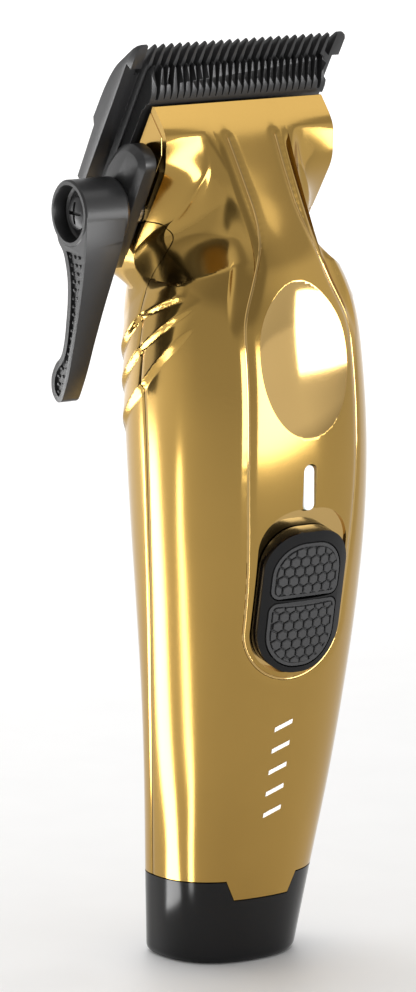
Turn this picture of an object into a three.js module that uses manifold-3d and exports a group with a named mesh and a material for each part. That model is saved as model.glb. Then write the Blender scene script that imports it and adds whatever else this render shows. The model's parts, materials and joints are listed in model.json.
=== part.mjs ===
// Cordless hair clipper, standing on its flat base with the blades at the top.
// Millimetres. +Z runs from the base to the blade tips, -Y is the thumb side that carries the
// slide switch, and -X is the side that carries the taper lever. The origin is the middle of the base.
import * as THREE from "three";
import { mergeVertices } from "three/addons/utils/BufferGeometryUtils.js";
import Module from "manifold-3d";

const wasm = await Module();
wasm.setup();

// ---------------------------------------------------------------- driving dimensions
const WALL = 2; // housing wall
const GAP = 0.3; // clearance between neighbouring pieces
const BLADE_TILT = THREE.MathUtils.degToRad(32.5); // blade plane against the upright
const TIP = { y: -6.9, z: 177.6 }; // cutting edge of the fixed blade
const CAP_TOP = 17; // joint line between the base cap and the housings
const CAP_TAB = { bottom: 13, half: 6.1, topHalf: 8.4 }; // front tab of the housing in the cap
const HEAD_BACK = -4.2; // back plane of the head, in the blade's frame
const LEVER = { y: 1.5, z: 146.3, hub: 6.4, outer: -33.7, inner: -23.9 }; // pivot runs along X
const LEVER_SWING = THREE.MathUtils.degToRad(50);
const CARRIAGE_TRAVEL = 2.4; // taper adjustment of the fixed blade
const CUTTER_TRAVEL = 1.4; // each way
const SWITCH = { z: 74, width: 18.4, height: 28.4, travel: 3 };
const MOTOR = { y: -6.5, radius: 12.8, bottom: 88, top: 124 };
const BATTERY = { y: -5.7, radius: 9, bottom: 33.2, top: 83.2 };

// Handle sections: height, half width, then the front, the widest line (the seam) and the back.
const HANDLE = [
  { z: 0, half: 14.3, front: -11.6, seam: 3, back: 11.6 },
  { z: 17, half: 16.6, front: -14.2, seam: -0.4, back: 9.2 },
  { z: 36, half: 18.9, front: -17.9, seam: -3.8, back: 6.5 },
  { z: 52, half: 20.2, front: -21.6, seam: -5.6, back: 6.2 },
  { z: 70, half: 21.2, front: -25.8, seam: -6.9, back: 8.4 },
  { z: 88, half: 21.8, front: -28.9, seam: -7.3, back: 11.1 },
  { z: 104, half: 21.8, front: -29.9, seam: -6.6, back: 13.2 },
  { z: 118, half: 21.3, front: -29.2, seam: -4.9, back: 14 },
  { z: 127, half: 20.8, front: -27.5, seam: -4, back: 14.5 },
  { z: 131, half: 20, front: -26.3, seam: -3.6, back: 15 },
  { z: 136, half: 17.6, front: -24.6, seam: -3, back: 15.6 },
  { z: 142, half: 13.8, front: -21.4, seam: -3, back: 15.8 },
];
// Neck and head: front centre line, edge of the front plate, and the crease where the side panel starts.
const NECK = [
  { z: 123, front: -28.3, plate: 12.3, plateY: -26.2, crease: 18.4, creaseY: 9 },
  { z: 131, front: -26, plate: 8.8, plateY: -24.6, crease: 18.5, creaseY: 7.1 },
  { z: 138, front: -23.9, plate: 6.8, plateY: -22.8, crease: 18.7, creaseY: 2.4 },
  { z: 150, front: -16.2, plate: 7.8, plateY: -15.6, crease: 18.8, creaseY: -5.2 },
  { z: 157, front: -11.6, plate: 8.7, plateY: -11.4, crease: 18.8, creaseY: -9.1 },
  { z: 160.8, front: -9.1, plate: 9, plateY: -9.1, crease: 18.8, creaseY: -9.1 },
  { z: 166, front: -5, plate: 9, plateY: -5, crease: 18.8, creaseY: -5 },
];
const SQUARENESS = 2.4; // exponent of the handle's rounded sections
const FRONT_STEPS = 9; // columns from the front centre line to the seam
const BACK_STEPS = 7;
const PLATE_COLUMN = 3; // the column that follows the edge of the front plate

// ---------------------------------------------------------------- materials
const finish = (color, roughness, metalness) =>
  new THREE.MeshStandardMaterial({ color, roughness, metalness });
const GOLD = finish(0xd6a648, 0.16, 1);
const BLACK_GLOSS = finish(0x141414, 0.25, 0);
const BLACK_PLASTIC = finish(0x2b2b2c, 0.45, 0);
const BLACK_STEEL = finish(0x3a3a3a, 0.4, 0.8);
const BLACK_RUBBER = finish(0x232323, 0.75, 0);
const STEEL = finish(0xb8babd, 0.3, 1);
const COPPER = finish(0xc98a4a, 0.3, 1);
const BRASS = finish(0xd8b460, 0.25, 1);
const WHITE_LENS = finish(0xf4f4f6, 0.2, 0);
const GREEN_BOARD = finish(0x1d5b34, 0.5, 0);
const BATTERY_WRAP = finish(0x2f6fb3, 0.4, 0);
const MAGNET = finish(0x55585c, 0.5, 0.6);

// ---------------------------------------------------------------- solids
function solidOf(geometry) {
  const bare = geometry.clone();
  bare.deleteAttribute("normal");
  bare.deleteAttribute("uv");
  const merged = mergeVertices(bare, 1e-4);
  return new wasm.Manifold(
    new wasm.Mesh({
      numProp: 3,
      vertProperties: merged.attributes.position.array,
      triVerts: new Uint32Array(merged.index.array),
    }),
  );
}

function geometryOf(solid) {
  const mesh = solid.getMesh();
  const positions = new Float32Array(mesh.vertProperties);
  return new THREE.BufferGeometry()
    .setAttribute("position", new THREE.BufferAttribute(positions, 3))
    .setIndex(new THREE.BufferAttribute(new Uint32Array(mesh.triVerts), 1));
}

const cut = (solid, ...tools) => tools.reduce((rest, tool) => rest.subtract(tool), solid);
const join = (solid, ...others) => others.reduce((sum, other) => sum.add(other), solid);

function box(x0, x1, y0, y1, z0, z1) {
  const geometry = new THREE.BoxGeometry(x1 - x0, y1 - y0, z1 - z0);
  geometry.translate((x0 + x1) / 2, (y0 + y1) / 2, (z0 + z1) / 2);
  return solidOf(geometry);
}

// A closed outline of [a, b] pairs, or a THREE.Shape, as a shape.
const shapeOf = (outline) =>
  outline instanceof THREE.Shape
    ? outline
    : new THREE.Shape(outline.map(([a, b]) => new THREE.Vector2(a, b)));

function extruded(outline, depth, curveSegments) {
  return new THREE.ExtrudeGeometry(shapeOf(outline), { depth, bevelEnabled: false, curveSegments });
}

// Side-view outlines of [y, z], extruded from x0 to x1.
function sideSlab(outline, x0, x1, curveSegments = 8) {
  const turn = new THREE.Matrix4().makeBasis(
    new THREE.Vector3(0, 1, 0),
    new THREE.Vector3(0, 0, 1),
    new THREE.Vector3(1, 0, 0),
  );
  return solidOf(extruded(outline, x1 - x0, curveSegments).applyMatrix4(turn).translate(x0, 0, 0));
}

// Front-view outlines of [x, z], extruded from the back face y1 forward to y0.
function frontSlab(outline, y0, y1, curveSegments = 8) {
  const geometry = extruded(outline, y1 - y0, curveSegments).rotateX(Math.PI / 2);
  return solidOf(geometry.translate(0, y1, 0));
}

// Plan outlines of [x, y], extruded from z0 up to z1.
const tower = (outline, z0, z1, curveSegments = 8) =>
  solidOf(extruded(outline, z1 - z0, curveSegments).translate(0, 0, z0));

function rod(axis, radius, from, to, a, b, segments = 20) {
  const geometry = new THREE.CylinderGeometry(radius, radius, to - from, segments);
  const middle = (from + to) / 2;
  if (axis === "x") geometry.rotateZ(Math.PI / 2).translate(middle, a, b);
  if (axis === "y") geometry.translate(a, middle, b);
  if (axis === "z") geometry.rotateX(Math.PI / 2).translate(a, b, middle);
  return solidOf(geometry);
}

const ring = (axis, inner, outer, from, to, a, b, segments = 20) =>
  cut(
    rod(axis, outer, from, to, a, b, segments),
    rod(axis, inner, from - 1, to + 1, a, b, segments),
  );

// A rounded rectangle of [x, z] or [x, y], with its own radius at the top and at the bottom.
function roundedRect(width, height, bottomRadius, topRadius = bottomRadius, cx = 0, cy = 0) {
  const [x0, x1, y0, y1] = [cx - width / 2, cx + width / 2, cy - height / 2, cy + height / 2];
  const shape = new THREE.Shape();
  shape.moveTo(x0 + bottomRadius, y0);
  shape.lineTo(x1 - bottomRadius, y0);
  shape.absarc(x1 - bottomRadius, y0 + bottomRadius, bottomRadius, -Math.PI / 2, 0);
  shape.lineTo(x1, y1 - topRadius);
  shape.absarc(x1 - topRadius, y1 - topRadius, topRadius, 0, Math.PI / 2);
  shape.lineTo(x0 + topRadius, y1);
  shape.absarc(x0 + topRadius, y1 - topRadius, topRadius, Math.PI / 2, Math.PI);
  shape.lineTo(x0, y0 + bottomRadius);
  shape.absarc(x0 + bottomRadius, y0 + bottomRadius, bottomRadius, Math.PI, 1.5 * Math.PI);
  return shape;
}

// ---------------------------------------------------------------- the body's surface
// A value of a station list at height z, on a smooth curve through the stations.
function along(stations, key, z) {
  const last = stations.length - 1;
  let i = 0;
  while (i < last - 1 && z > stations[i + 1].z) i++;
  const slope = (k) => {
    const [a, b] = [stations[Math.max(k - 1, 0)], stations[Math.min(k + 1, last)]];
    return (b[key] - a[key]) / (b.z - a.z);
  };
  const [s, e] = [stations[i], stations[i + 1]];
  const span = e.z - s.z;
  const t = THREE.MathUtils.clamp((z - s.z) / span, 0, 1);
  return (
    s[key] * (2 * t ** 3 - 3 * t ** 2 + 1) +
    e[key] * (3 * t ** 2 - 2 * t ** 3) +
    slope(i) * span * (t ** 3 - 2 * t ** 2 + t) +
    slope(i + 1) * span * (t ** 3 - t ** 2)
  );
}

// Right half of a handle section, from the front centre line round to the back centre line.
function handleHalf(z, inset = 0) {
  const at = (key) => along(HANDLE, key, z);
  const half = at("half") - inset;
  const points = [];
  for (let i = 0; i <= FRONT_STEPS + BACK_STEPS; i++) {
    const front = i <= FRONT_STEPS;
    const angle = front
      ? ((i / FRONT_STEPS) * Math.PI) / 2
      : Math.PI / 2 + (((i - FRONT_STEPS) / BACK_STEPS) * Math.PI) / 2;
    const depth = Math.abs(at(front ? "front" : "back") - at("seam")) - inset;
    const power = 2 / SQUARENESS;
    points.push([
      half * Math.abs(Math.sin(angle)) ** power,
      at("seam") - Math.sign(Math.cos(angle)) * depth * Math.abs(Math.cos(angle)) ** power,
    ]);
  }
  points[0][0] = 0;
  points.at(-1)[0] = 0;
  return points;
}

// Right half of a neck or head section, in the same columns. Its back reaches past the head's back plane.
const NECK_BACK = 30;
const HOLLOW = 2.8; // how far the flank between plate and crease is dished
function neckHalf(z) {
  const at = (key) => along(NECK, key, z);
  const [plate, plateY, crease, creaseY] = ["plate", "plateY", "crease", "creaseY"].map(at);
  const dish = HOLLOW * THREE.MathUtils.smoothstep(160.8 - z, 0, 20);
  const points = [];
  for (let i = 0; i <= FRONT_STEPS + BACK_STEPS; i++) {
    if (i <= PLATE_COLUMN) {
      const t = i / PLATE_COLUMN;
      points.push([plate * t, at("front") + (plateY - at("front")) * t * t]);
    } else if (i <= FRONT_STEPS) {
      const t = (i - PLATE_COLUMN) / (FRONT_STEPS - PLATE_COLUMN);
      const sink = dish * 4 * t * (1 - t);
      points.push([
        plate + (crease - plate) * t - sink * 0.9,
        plateY + (creaseY - plateY) * t + sink * 0.4,
      ]);
    } else {
      const t = (i - FRONT_STEPS) / BACK_STEPS;
      const turn = Math.min(1, t * 2);
      points.push([crease * Math.min(1, 2 - 2 * t), creaseY + (NECK_BACK - creaseY) * turn]);
    }
  }
  return points;
}

// The shoulder: each column leaves the handle's shape and joins the neck's between two heights.
function shoulder(i, z) {
  if (i <= PLATE_COLUMN) return THREE.MathUtils.smoothstep(z, 122, 137);
  const t = Math.min(1, (i - PLATE_COLUMN) / (FRONT_STEPS - PLATE_COLUMN));
  const rim = 138 - 7 * t;
  return THREE.MathUtils.smoothstep(z, rim, rim + 5 - 2 * t);
}

function outerHalf(z) {
  if (z <= 122) return handleHalf(z);
  const [handle, neck] = [handleHalf(Math.min(z, 142)), neckHalf(z)];
  return handle.map(([x, y], i) => {
    const w = shoulder(i, z);
    return [x + (neck[i][0] - x) * w, y + (neck[i][1] - y) * w];
  });
}

// A closed skin through half sections that are mirrored in x, with flat ends.
function loft(levels, halfAt) {
  const positions = [];
  const index = [];
  let count = 0;
  for (const z of levels) {
    const half = halfAt(z);
    const left = half.slice(1, -1).reverse();
    const loop = [...half, ...left.map(([x, y]) => [-x, y])];
    count = loop.length;
    for (const [x, y] of loop) positions.push(x, y, z);
  }
  for (let row = 0; row < levels.length - 1; row++) {
    for (let k = 0; k < count; k++) {
      const [a, b] = [row * count + k, row * count + ((k + 1) % count)];
      index.push(a, b, b + count, a, b + count, a + count);
    }
  }
  const capRow = (row, up) => {
    const outline = [];
    for (let k = 0; k < count; k++) {
      const at = (row * count + k) * 3;
      outline.push(new THREE.Vector2(positions[at], positions[at + 1]));
    }
    for (const [a, b, c] of THREE.ShapeUtils.triangulateShape(outline, [])) {
      const [p, q, r] = [a, b, c].map((k) => row * count + k);
      if (up) index.push(p, q, r);
      else index.push(p, r, q);
    }
  };
  capRow(0, false);
  capRow(levels.length - 1, true);
  return new THREE.BufferGeometry()
    .setAttribute("position", new THREE.BufferAttribute(new Float32Array(positions), 3))
    .setIndex(index);
}

const levelsBetween = (from, to, count) =>
  Array.from({ length: count + 1 }, (_, i) => from + ((to - from) * i) / count);

// ---------------------------------------------------------------- frames
const clipper = new THREE.Group();
const bladeFrame = new THREE.Group(); // local +z runs up the blade to its tips, local -y is its front
bladeFrame.position.set(0, TIP.y, TIP.z);
bladeFrame.rotation.x = BLADE_TILT;
clipper.add(bladeFrame);

// A solid made in the blade's frame, moved into the clipper's.
const fromBlade = (solid) =>
  solid.rotate([THREE.MathUtils.radToDeg(BLADE_TILT), 0, 0]).translate([0, TIP.y, TIP.z]);
function toBlade(y, z) {
  const [dy, dz] = [y - TIP.y, z - TIP.z];
  const [c, s] = [Math.cos(BLADE_TILT), Math.sin(BLADE_TILT)];
  return { y: c * dy + s * dz, z: -s * dy + c * dz };
}
const leverInBlade = toBlade(LEVER.y, LEVER.z);

const slopeAt = (z) => (along(HANDLE, "front", z + 4) - along(HANDLE, "front", z - 4)) / 8;
const switchFrame = new THREE.Group(); // local -y is the front surface's outward normal
switchFrame.position.set(0, along(HANDLE, "front", SWITCH.z), SWITCH.z);
switchFrame.rotation.x = -Math.atan(slopeAt(SWITCH.z));
clipper.add(switchFrame);
const fromSwitch = (solid) =>
  solid
    .rotate([THREE.MathUtils.radToDeg(switchFrame.rotation.x), 0, 0])
    .translate(switchFrame.position.toArray());

function piece(name, solid, material, frame = clipper) {
  const mesh = new THREE.Mesh(geometryOf(solid), material);
  mesh.name = name;
  frame.add(mesh);
}

// ---------------------------------------------------------------- housings
const bodyLevels = [
  ...levelsBetween(CAP_TAB.bottom + GAP, 118, 11),
  ...levelsBetween(122, 146, 10),
  150, 154, 157, 160.8, 166,
];
const headBackCutter = fromBlade(box(-40, 40, HEAD_BACK, 60, -90, 60));
const outer = solidOf(loft(bodyLevels, outerHalf)).subtract(headBackCutter);

// The hollow of the handle, then that of the head, which opens through the head's back plane.
const handleHollow = solidOf(
  loft([10, ...levelsBetween(24, 126, 7)], (z) => handleHalf(z, WALL)),
);
const HEAD_FLOOR = 134.5; // above this height the head's hollow opens to the back
function headHollowHalf(z) {
  const open = z > HEAD_FLOOR;
  const back = open ? NECK_BACK : 9.5;
  const flank = neckHalf(z).slice(PLATE_COLUMN, FRONT_STEPS + 1);
  const inner = flank.map(([x, y]) => [
    Math.min(x - 0.8 * WALL, open ? 20 : 13.5),
    Math.min(y + 0.65 * WALL, back - 0.7),
  ]);
  return [[0, along(NECK, "front", z) + WALL + 0.2], ...inner, [inner.at(-1)[0], back], [0, back]];
}
const headHollow = solidOf(
  loft([122, 129, HEAD_FLOOR - 0.1, HEAD_FLOOR + 0.1, 139, 144, 150, 156, 160.6], headHollowHalf),
);

// The housings part along the seam, which loops forward round the lever's side of the neck.
const seamCurve = [
  ...levelsBetween(8, 128, 12).map((z) => [along(HANDLE, "seam", z), z]),
  [-3.5, 131],
  [-3.4, 134],
  [-5, 138],
  [-5.6, 141],
  [-4.4, 143.2],
  [-1.6, 144.2],
  [24, 144.2],
];
const behindSeam = (shift) => [
  ...seamCurve.map(([y, z]) => [y + shift, z > 143.5 ? z - shift : z]),
  [40, 144.2 - shift],
  [40, 8],
];
const rearRegion = sideSlab(behindSeam(GAP / 2), -40, 40);
const rearRegionWithGap = sideSlab(behindSeam(-GAP / 2), -40, 40);

// The lower rim follows the base cap: straight all round, with a tab at the front.
const tabOutline = (grow) => [
  [-CAP_TAB.half - grow, CAP_TAB.bottom - grow],
  [CAP_TAB.half + grow, CAP_TAB.bottom - grow],
  [CAP_TAB.topHalf + grow, CAP_TOP + 1],
  [-CAP_TAB.topHalf - grow, CAP_TOP + 1],
];
const belowRim = cut(
  box(-40, 40, -40, 40, 0, CAP_TOP + GAP),
  frontSlab(tabOutline(0), -40, -6).translate([0, 0, GAP]),
);

// The lever's cam shaft enters through the left flank, and the cutter's yoke leaves at the top.
const CAM = { shaft: 2.9, disc: 3.2 };
const camHole = rod("x", CAM.shaft + GAP, -30, -14, LEVER.y, LEVER.z, 20);
const YOKE_ROOM = { half: 11.4, front: -8, top: -14.2 };
const yokeRoom = fromBlade(box(-YOKE_ROOM.half, YOKE_ROOM.half, YOKE_ROOM.front, 20, -34, YOKE_ROOM.top));

// Thumb dish, keyhole recess round the switch, slot for its stem and slot for the indicator.
const DISH = { z: 120.4, y: -30, tilt: -9.1, half: 12.8, depth: 4.2, height: 18.7 };
const dishSolid = (grow) =>
  solidOf(
    new THREE.SphereGeometry(1, 32, 20)
      .scale(DISH.half + grow, DISH.depth + grow, DISH.height + grow)
      .rotateX(THREE.MathUtils.degToRad(DISH.tilt))
      .translate(0, DISH.y, DISH.z),
  );
const RECESS_DEPTH = 2.1;
const recessOutline = roundedRect(
  SWITCH.width + 1.4,
  SWITCH.height + 1.4 + SWITCH.travel,
  9,
  8,
  0,
  SWITCH.travel / 2,
);
const switchRecess = fromSwitch(frontSlab(recessOutline, -8, RECESS_DEPTH, 6));
const STEM = { half: 2.6, height: 3 };
const stemSlot = fromSwitch(
  box(-STEM.half - 0.5, STEM.half + 0.5, -8, 12, -STEM.height - 0.5, STEM.height + 0.5 + SWITCH.travel),
);
const LENS = { width: 2.4, height: 8.6, z: 95.7, front: -29.3, back: -25.6 };
const lensOutline = (grow) =>
  roundedRect(LENS.width + grow, LENS.height + grow, (LENS.width + grow) / 2, (LENS.width + grow) / 2, 0, LENS.z);
const lensSlot = frontSlab(lensOutline(2 * GAP), -40, -20, 5);

const hollow = join(handleHollow, headHollow).subtract(dishSolid(WALL - 0.3));
const shell = cut(outer, hollow, belowRim, camHole, yokeRoom);
const front = cut(shell, rearRegionWithGap, dishSolid(0), switchRecess, stemSlot, lensSlot);
piece("front_housing", front, GOLD);
piece("rear_housing", shell.intersect(rearRegion), GOLD);
piece("indicator_lens", frontSlab(lensOutline(0), LENS.front, LENS.back, 5), WHITE_LENS);

// ---------------------------------------------------------------- base cap and charging
const CAP_EDGE = [
  [0, 1],
  [0.35, 0.4],
  [0.9, 0.1],
  [1.6, 0],
]; // rounding of the base: height and inset
const capInset = (z) => {
  const next = CAP_EDGE.findIndex(([height]) => height >= z);
  return next < 0 ? 0 : CAP_EDGE[next][1];
};
const FLOOR = 2.2;
const PORT = { y: 5.4, width: 9.6, height: 3.9 };
const portHole = tower(
  roundedRect(PORT.width, PORT.height, PORT.height / 2 - 0.01, PORT.height / 2 - 0.01, 0, PORT.y),
  -1,
  FLOOR + 1,
  5,
);
const CONTACTS = [-1, 1].map((side) => ({ name: side < 0 ? "left" : "right", x: 4.6 * side, y: -4.4 }));
const BASE_SCREWS = [-1, 1].map((side) => ({ name: side < 0 ? "left" : "right", x: 9.6 * side, y: 0.6 }));
const capSolid = cut(
  solidOf(loft([...CAP_EDGE.map(([height]) => height), 9.5, CAP_TOP], (z) => handleHalf(z, capInset(z)))),
  solidOf(loft([FLOOR, 9.5, CAP_TOP + 2], (z) => handleHalf(z, WALL))),
  frontSlab(tabOutline(0), -40, -6),
  portHole,
  ...CONTACTS.map(({ x, y }) => rod("z", 1.9, -1, FLOOR + 1, x, y, 16)),
  ...BASE_SCREWS.map(({ x, y }) => rod("z", 1.5, -1, FLOOR + 1, x, y, 12)),
  ...BASE_SCREWS.map(({ x, y }) => rod("z", 2.5, -1, 1.3, x, y, 16)),
);
piece("base_cap", capSolid, BLACK_GLOSS);
for (const { name, x, y } of CONTACTS) {
  const pad = join(rod("z", 1.5, 0.3, 4, x, y, 16), rod("z", 2.3, FLOOR + GAP, 4, x, y, 16));
  piece(`dock_contact_${name}`, pad, BRASS);
}

// A screw with a cross-slotted head. It points along +z from its head's outer face at z = 0.
function screw(headRadius, headHeight, shankRadius, length) {
  const head = cut(
    rod("z", headRadius, 0, headHeight, 0, 0, 16),
    box(-headRadius * 0.6, headRadius * 0.6, -0.3, 0.3, -1, headHeight * 0.5),
    box(-0.3, 0.3, -headRadius * 0.6, headRadius * 0.6, -1, headHeight * 0.5),
  );
  return join(head, rod("z", shankRadius, headHeight - 0.1, length, 0, 0, 10));
}
for (const { name, x, y } of BASE_SCREWS) {
  piece(`base_screw_${name}`, screw(2.1, 0.9, 1.1, 11).translate([x, y, 0.2]), STEEL);
}

const socketOutline = (inset) =>
  roundedRect(9 - 2 * inset, 3.3 - 2 * inset, 1.64 - inset, 1.64 - inset, 0, PORT.y);
const socket = join(
  cut(tower(socketOutline(0), 0.5, 8, 4), tower(socketOutline(0.4), -1, 7, 4)),
  box(-3.3, 3.3, PORT.y - 0.35, PORT.y + 0.35, 1.6, 7.5),
);
piece("charging_socket", socket, STEEL);
const chargeBoard = cut(
  box(-8, 8, -6.6, 7.2, 8.4, 9.8),
  ...BASE_SCREWS.map(({ x, y }) => rod("z", 1.6, 7, 11, x, y, 12)),
);
piece("charge_board", chargeBoard, GREEN_BOARD);

// ---------------------------------------------------------------- battery, cradle and board
const cradle = join(
  box(-12, 12, -11.2, 2.5, 30, 32.4),
  box(-13.5, 13.5, -15, 3, 83.6, 85.2),
  ...[-1, 1].map((side) => box(...[side * 9.6, side * 12].sort((a, b) => a - b), -10, -1.5, 31, 84.5)),
);
piece("battery_cradle", cradle, BLACK_PLASTIC);
const cell = join(
  rod("z", BATTERY.radius, BATTERY.bottom, BATTERY.top - 1.2, 0, BATTERY.y, 28),
  rod("z", 2.8, BATTERY.top - 1.3, BATTERY.top, 0, BATTERY.y, 16),
);
piece("battery_cell", cell, BATTERY_WRAP);

// The board leans with the front surface. Local origin at its middle, local -y is its front.
const boardFrame = new THREE.Group();
boardFrame.position.set(0, -20.2, 79);
boardFrame.rotation.x = THREE.MathUtils.degToRad(7.2);
clipper.add(boardFrame);
piece("circuit_board", box(-9, 9, -0.8, 0.8, -19.5, 19.5), GREEN_BOARD, boardFrame);
piece("toggle_switch", box(-4, 4, -2.4, -1.1, -8.5, 1.5), STEEL, boardFrame);
piece("toggle_nub", box(-1.4, 1.4, -4.6, -2.7, -4.7, -3.2), BLACK_PLASTIC, boardFrame);
piece("indicator_led", box(-1.4, 1.4, -2, -1.1, 14.4, 17.8), WHITE_LENS, boardFrame);
piece("control_chip", box(-6.5, -1, -2, -1.1, -15.5, -10), BLACK_PLASTIC, boardFrame);

// ---------------------------------------------------------------- slide switch
const BUTTON = { back: RECESS_DEPTH - GAP, front: -1.6, stemEnd: 4 };
const buttonOutline = roundedRect(SWITCH.width, SWITCH.height, 8.6, 7.6);
const PADS = [
  { name: "upper", z: 6.4, height: 11, bottom: 1.8, top: 6.4 },
  { name: "lower", z: -6.4, height: 13, bottom: 6.9, top: 1.8 },
];
const padOutline = ({ z, height, bottom, top }, grow) =>
  roundedRect(15 + grow, height + grow, bottom, top, 0, z);
const crown = solidOf(
  new THREE.CylinderGeometry(30, 30, 60, 96).rotateX(Math.PI / 2).translate(0, 30 + BUTTON.front, 0),
);
const button = cut(
  join(
    frontSlab(buttonOutline, BUTTON.front, BUTTON.back, 7).intersect(crown),
    box(-STEM.half, STEM.half, BUTTON.back - 0.2, BUTTON.stemEnd, -STEM.height, STEM.height),
  ),
  box(-STEM.half - 1, STEM.half + 1, BUTTON.back + 0.4, BUTTON.stemEnd + 1, -1.5, 1.5),
  ...PADS.map((pad) => frontSlab(padOutline(pad, 2 * GAP), -6, BUTTON.front + 1.9, 5)),
);
piece("switch_button", button, BLACK_GLOSS, switchFrame);
for (const pad of PADS) {
  const grip = frontSlab(padOutline(pad, 0), BUTTON.front, BUTTON.front + 1.6, 5);
  piece(`${pad.name}_grip_pad`, grip.intersect(crown.translate([0, 0.1, 0])), BLACK_RUBBER, switchFrame);
}

// ---------------------------------------------------------------- motor and drive
const { y: motorY, bottom: motorLow, top: motorHigh } = MOTOR;
const can = cut(
  rod("z", MOTOR.radius, motorLow, motorHigh, 0, motorY, 32),
  rod("z", MOTOR.radius - 1.4, motorLow - 1, motorHigh - 3.6, 0, motorY, 28),
  rod("z", 4.8, motorLow, motorHigh + 1, 0, motorY, 20),
);
piece("motor_can", can, STEEL);
piece("motor_end_cap", ring("z", 4.8, MOTOR.radius, motorLow - 2.4, motorLow - GAP, 0, motorY, 28), BLACK_PLASTIC);
piece("rear_bearing", ring("z", 1.9, 4.4, motorLow - 2.2, motorLow - 0.2, 0, motorY), STEEL);
piece("front_bearing", ring("z", 1.9, 4.4, motorHigh - 3.2, motorHigh - 0.3, 0, motorY), STEEL);
piece("motor_shaft", rod("z", 1.5, motorLow - 2.1, motorHigh + 6, 0, motorY, 16), STEEL);
piece("rotor_magnet", ring("z", 1.8, 8.5, motorLow + 5, motorHigh - 6, 0, motorY, 24), MAGNET);
piece("motor_winding", ring("z", 9.2, 11, motorLow + 6, motorHigh - 7, 0, motorY, 28), COPPER);
const ECCENTRIC = { low: 127, high: 132, pinTop: 141.2, offset: CUTTER_TRAVEL };
const eccentric = join(
  cut(
    rod("z", 5, ECCENTRIC.low, ECCENTRIC.high, 0, motorY, 24),
    rod("z", 1.8, ECCENTRIC.low - 1, motorHigh + 6.4, 0, motorY, 16),
  ),
  rod("z", 1.2, ECCENTRIC.high - 0.2, ECCENTRIC.pinTop, ECCENTRIC.offset, motorY, 14),
);
piece("eccentric", eccentric, BRASS);
piece(
  "eccentric_bearing",
  ring("z", 1.5, 2.2, 136.2, 140.2, ECCENTRIC.offset, motorY, 18),
  STEEL,
);

// ---------------------------------------------------------------- head frame, in the blade's frame
const frameOutline = [
  [-12, -44.4], [-6.6, -44.4], [-4.6, -42.6], [-4.6, -38.4], [-12, -38.4],
];
const FRAME_SCREW_Z = -41.4;
const frameBar = cut(
  sideSlab(frameOutline, -12.4, 12.4),
  ...[-1, 1].map((side) => rod("y", 1.5, -14, -4, 8.6 * side, FRAME_SCREW_Z, 12)),
  ...[-1, 1].map((side) => rod("y", 2.6, -6.4, -4, 8.6 * side, FRAME_SCREW_Z, 16)),
);
piece("head_frame", frameBar, BLACK_PLASTIC, bladeFrame);
for (const side of [-1, 1]) {
  const fixing = screw(2.2, 1.2, 1.2, 7.6).rotate([90, 0, 0]).translate([8.6 * side, -4.8, FRAME_SCREW_Z]);
  piece(`frame_screw_${side < 0 ? "left" : "right"}`, fixing, STEEL, bladeFrame);
}

// Lever bracket: a plate with a rounded top, held off the head's left flank by its narrower foot.
const BRACKET = { outer: -23.6, inner: -20.3, foot: -19.2, front: -13.2 };
const bracketOutline = new THREE.Shape();
bracketOutline.moveTo(BRACKET.front - 0.5, -42);
bracketOutline.lineTo(BRACKET.front, -19.2);
bracketOutline.quadraticCurveTo(BRACKET.front, -16.6, -10.8, -16.4);
bracketOutline.quadraticCurveTo(-3.4, -18, -2.4, -26);
bracketOutline.lineTo(-2.4, -34);
bracketOutline.quadraticCurveTo(-3, -38, -7, -40);
const footOutline = [
  [-12.6, -40], [-12.2, -20.4], [-10.4, -18.6], [-6, -20], [-4, -26], [-4, -34], [-8, -39],
];
const bracket = cut(
  join(
    sideSlab(bracketOutline, BRACKET.outer, BRACKET.inner),
    sideSlab(footOutline, BRACKET.inner - 0.2, BRACKET.foot),
  ),
  rod("x", CAM.shaft + GAP, -30, -10, leverInBlade.y, leverInBlade.z, 24),
);
piece("lever_bracket", bracket, BLACK_PLASTIC, bladeFrame);

// ---------------------------------------------------------------- blades, in the blade's frame
// A comb outline of [x, z]: a plate with teeth that narrow to their tips.
function comb({ half, low, root, tip, teeth, rootWidth, tipWidth, endTooth }) {
  const outline = [
    [half, low],
    [half, tip - 1.2],
    [half - 0.9, tip],
    [half - endTooth, tip],
  ];
  const inner = half - endTooth;
  const pitch = (2 * inner) / (teeth + 1);
  for (let i = 1; i <= teeth; i++) {
    const x = inner - pitch * i;
    const [gapLeft, w] = [x + pitch - rootWidth / 2, tipWidth / 2];
    if (i === 1) outline.push([inner - 0.2, root]);
    else outline.push([gapLeft, root]);
    outline.push([x + rootWidth / 2, root], [x + w, tip - 0.2], [x - w, tip - 0.2]);
  }
  outline.push([-inner + pitch - rootWidth / 2, root], [-inner + 0.2, root]);
  outline.push([-inner, tip], [-half + 0.9, tip], [-half, tip - 1.2], [-half, low]);
  return outline;
}
const fixedComb = comb({
  half: 23.4, low: -34, root: -8, tip: 0, teeth: 22, rootWidth: 1.15, tipWidth: 0.5, endTooth: 2.2,
});
const fixedProfile = [
  [0, 0.5], [0, -35], [4.2, -35], [4.6, -22.4], [5.6, -21.4], [5.7, -14], [4.8, -8.5], [2.9, -4.2], [0.5, 0.5],
];
const SCREW_Z = -29.8;
const fixedBlade = cut(
  frontSlab(fixedComb, -1, 7).intersect(sideSlab(fixedProfile, -30, 30)),
  ...[-1, 1].map((side) => rod("y", 2, -1, 8, 10 * side, SCREW_Z, 16)),
  ...[-1, 1].map((side) => rod("y", 3.6, 2.6, 8, 10 * side, SCREW_Z, 20)),
);
piece("fixed_blade", fixedBlade, BLACK_STEEL, bladeFrame);

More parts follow.
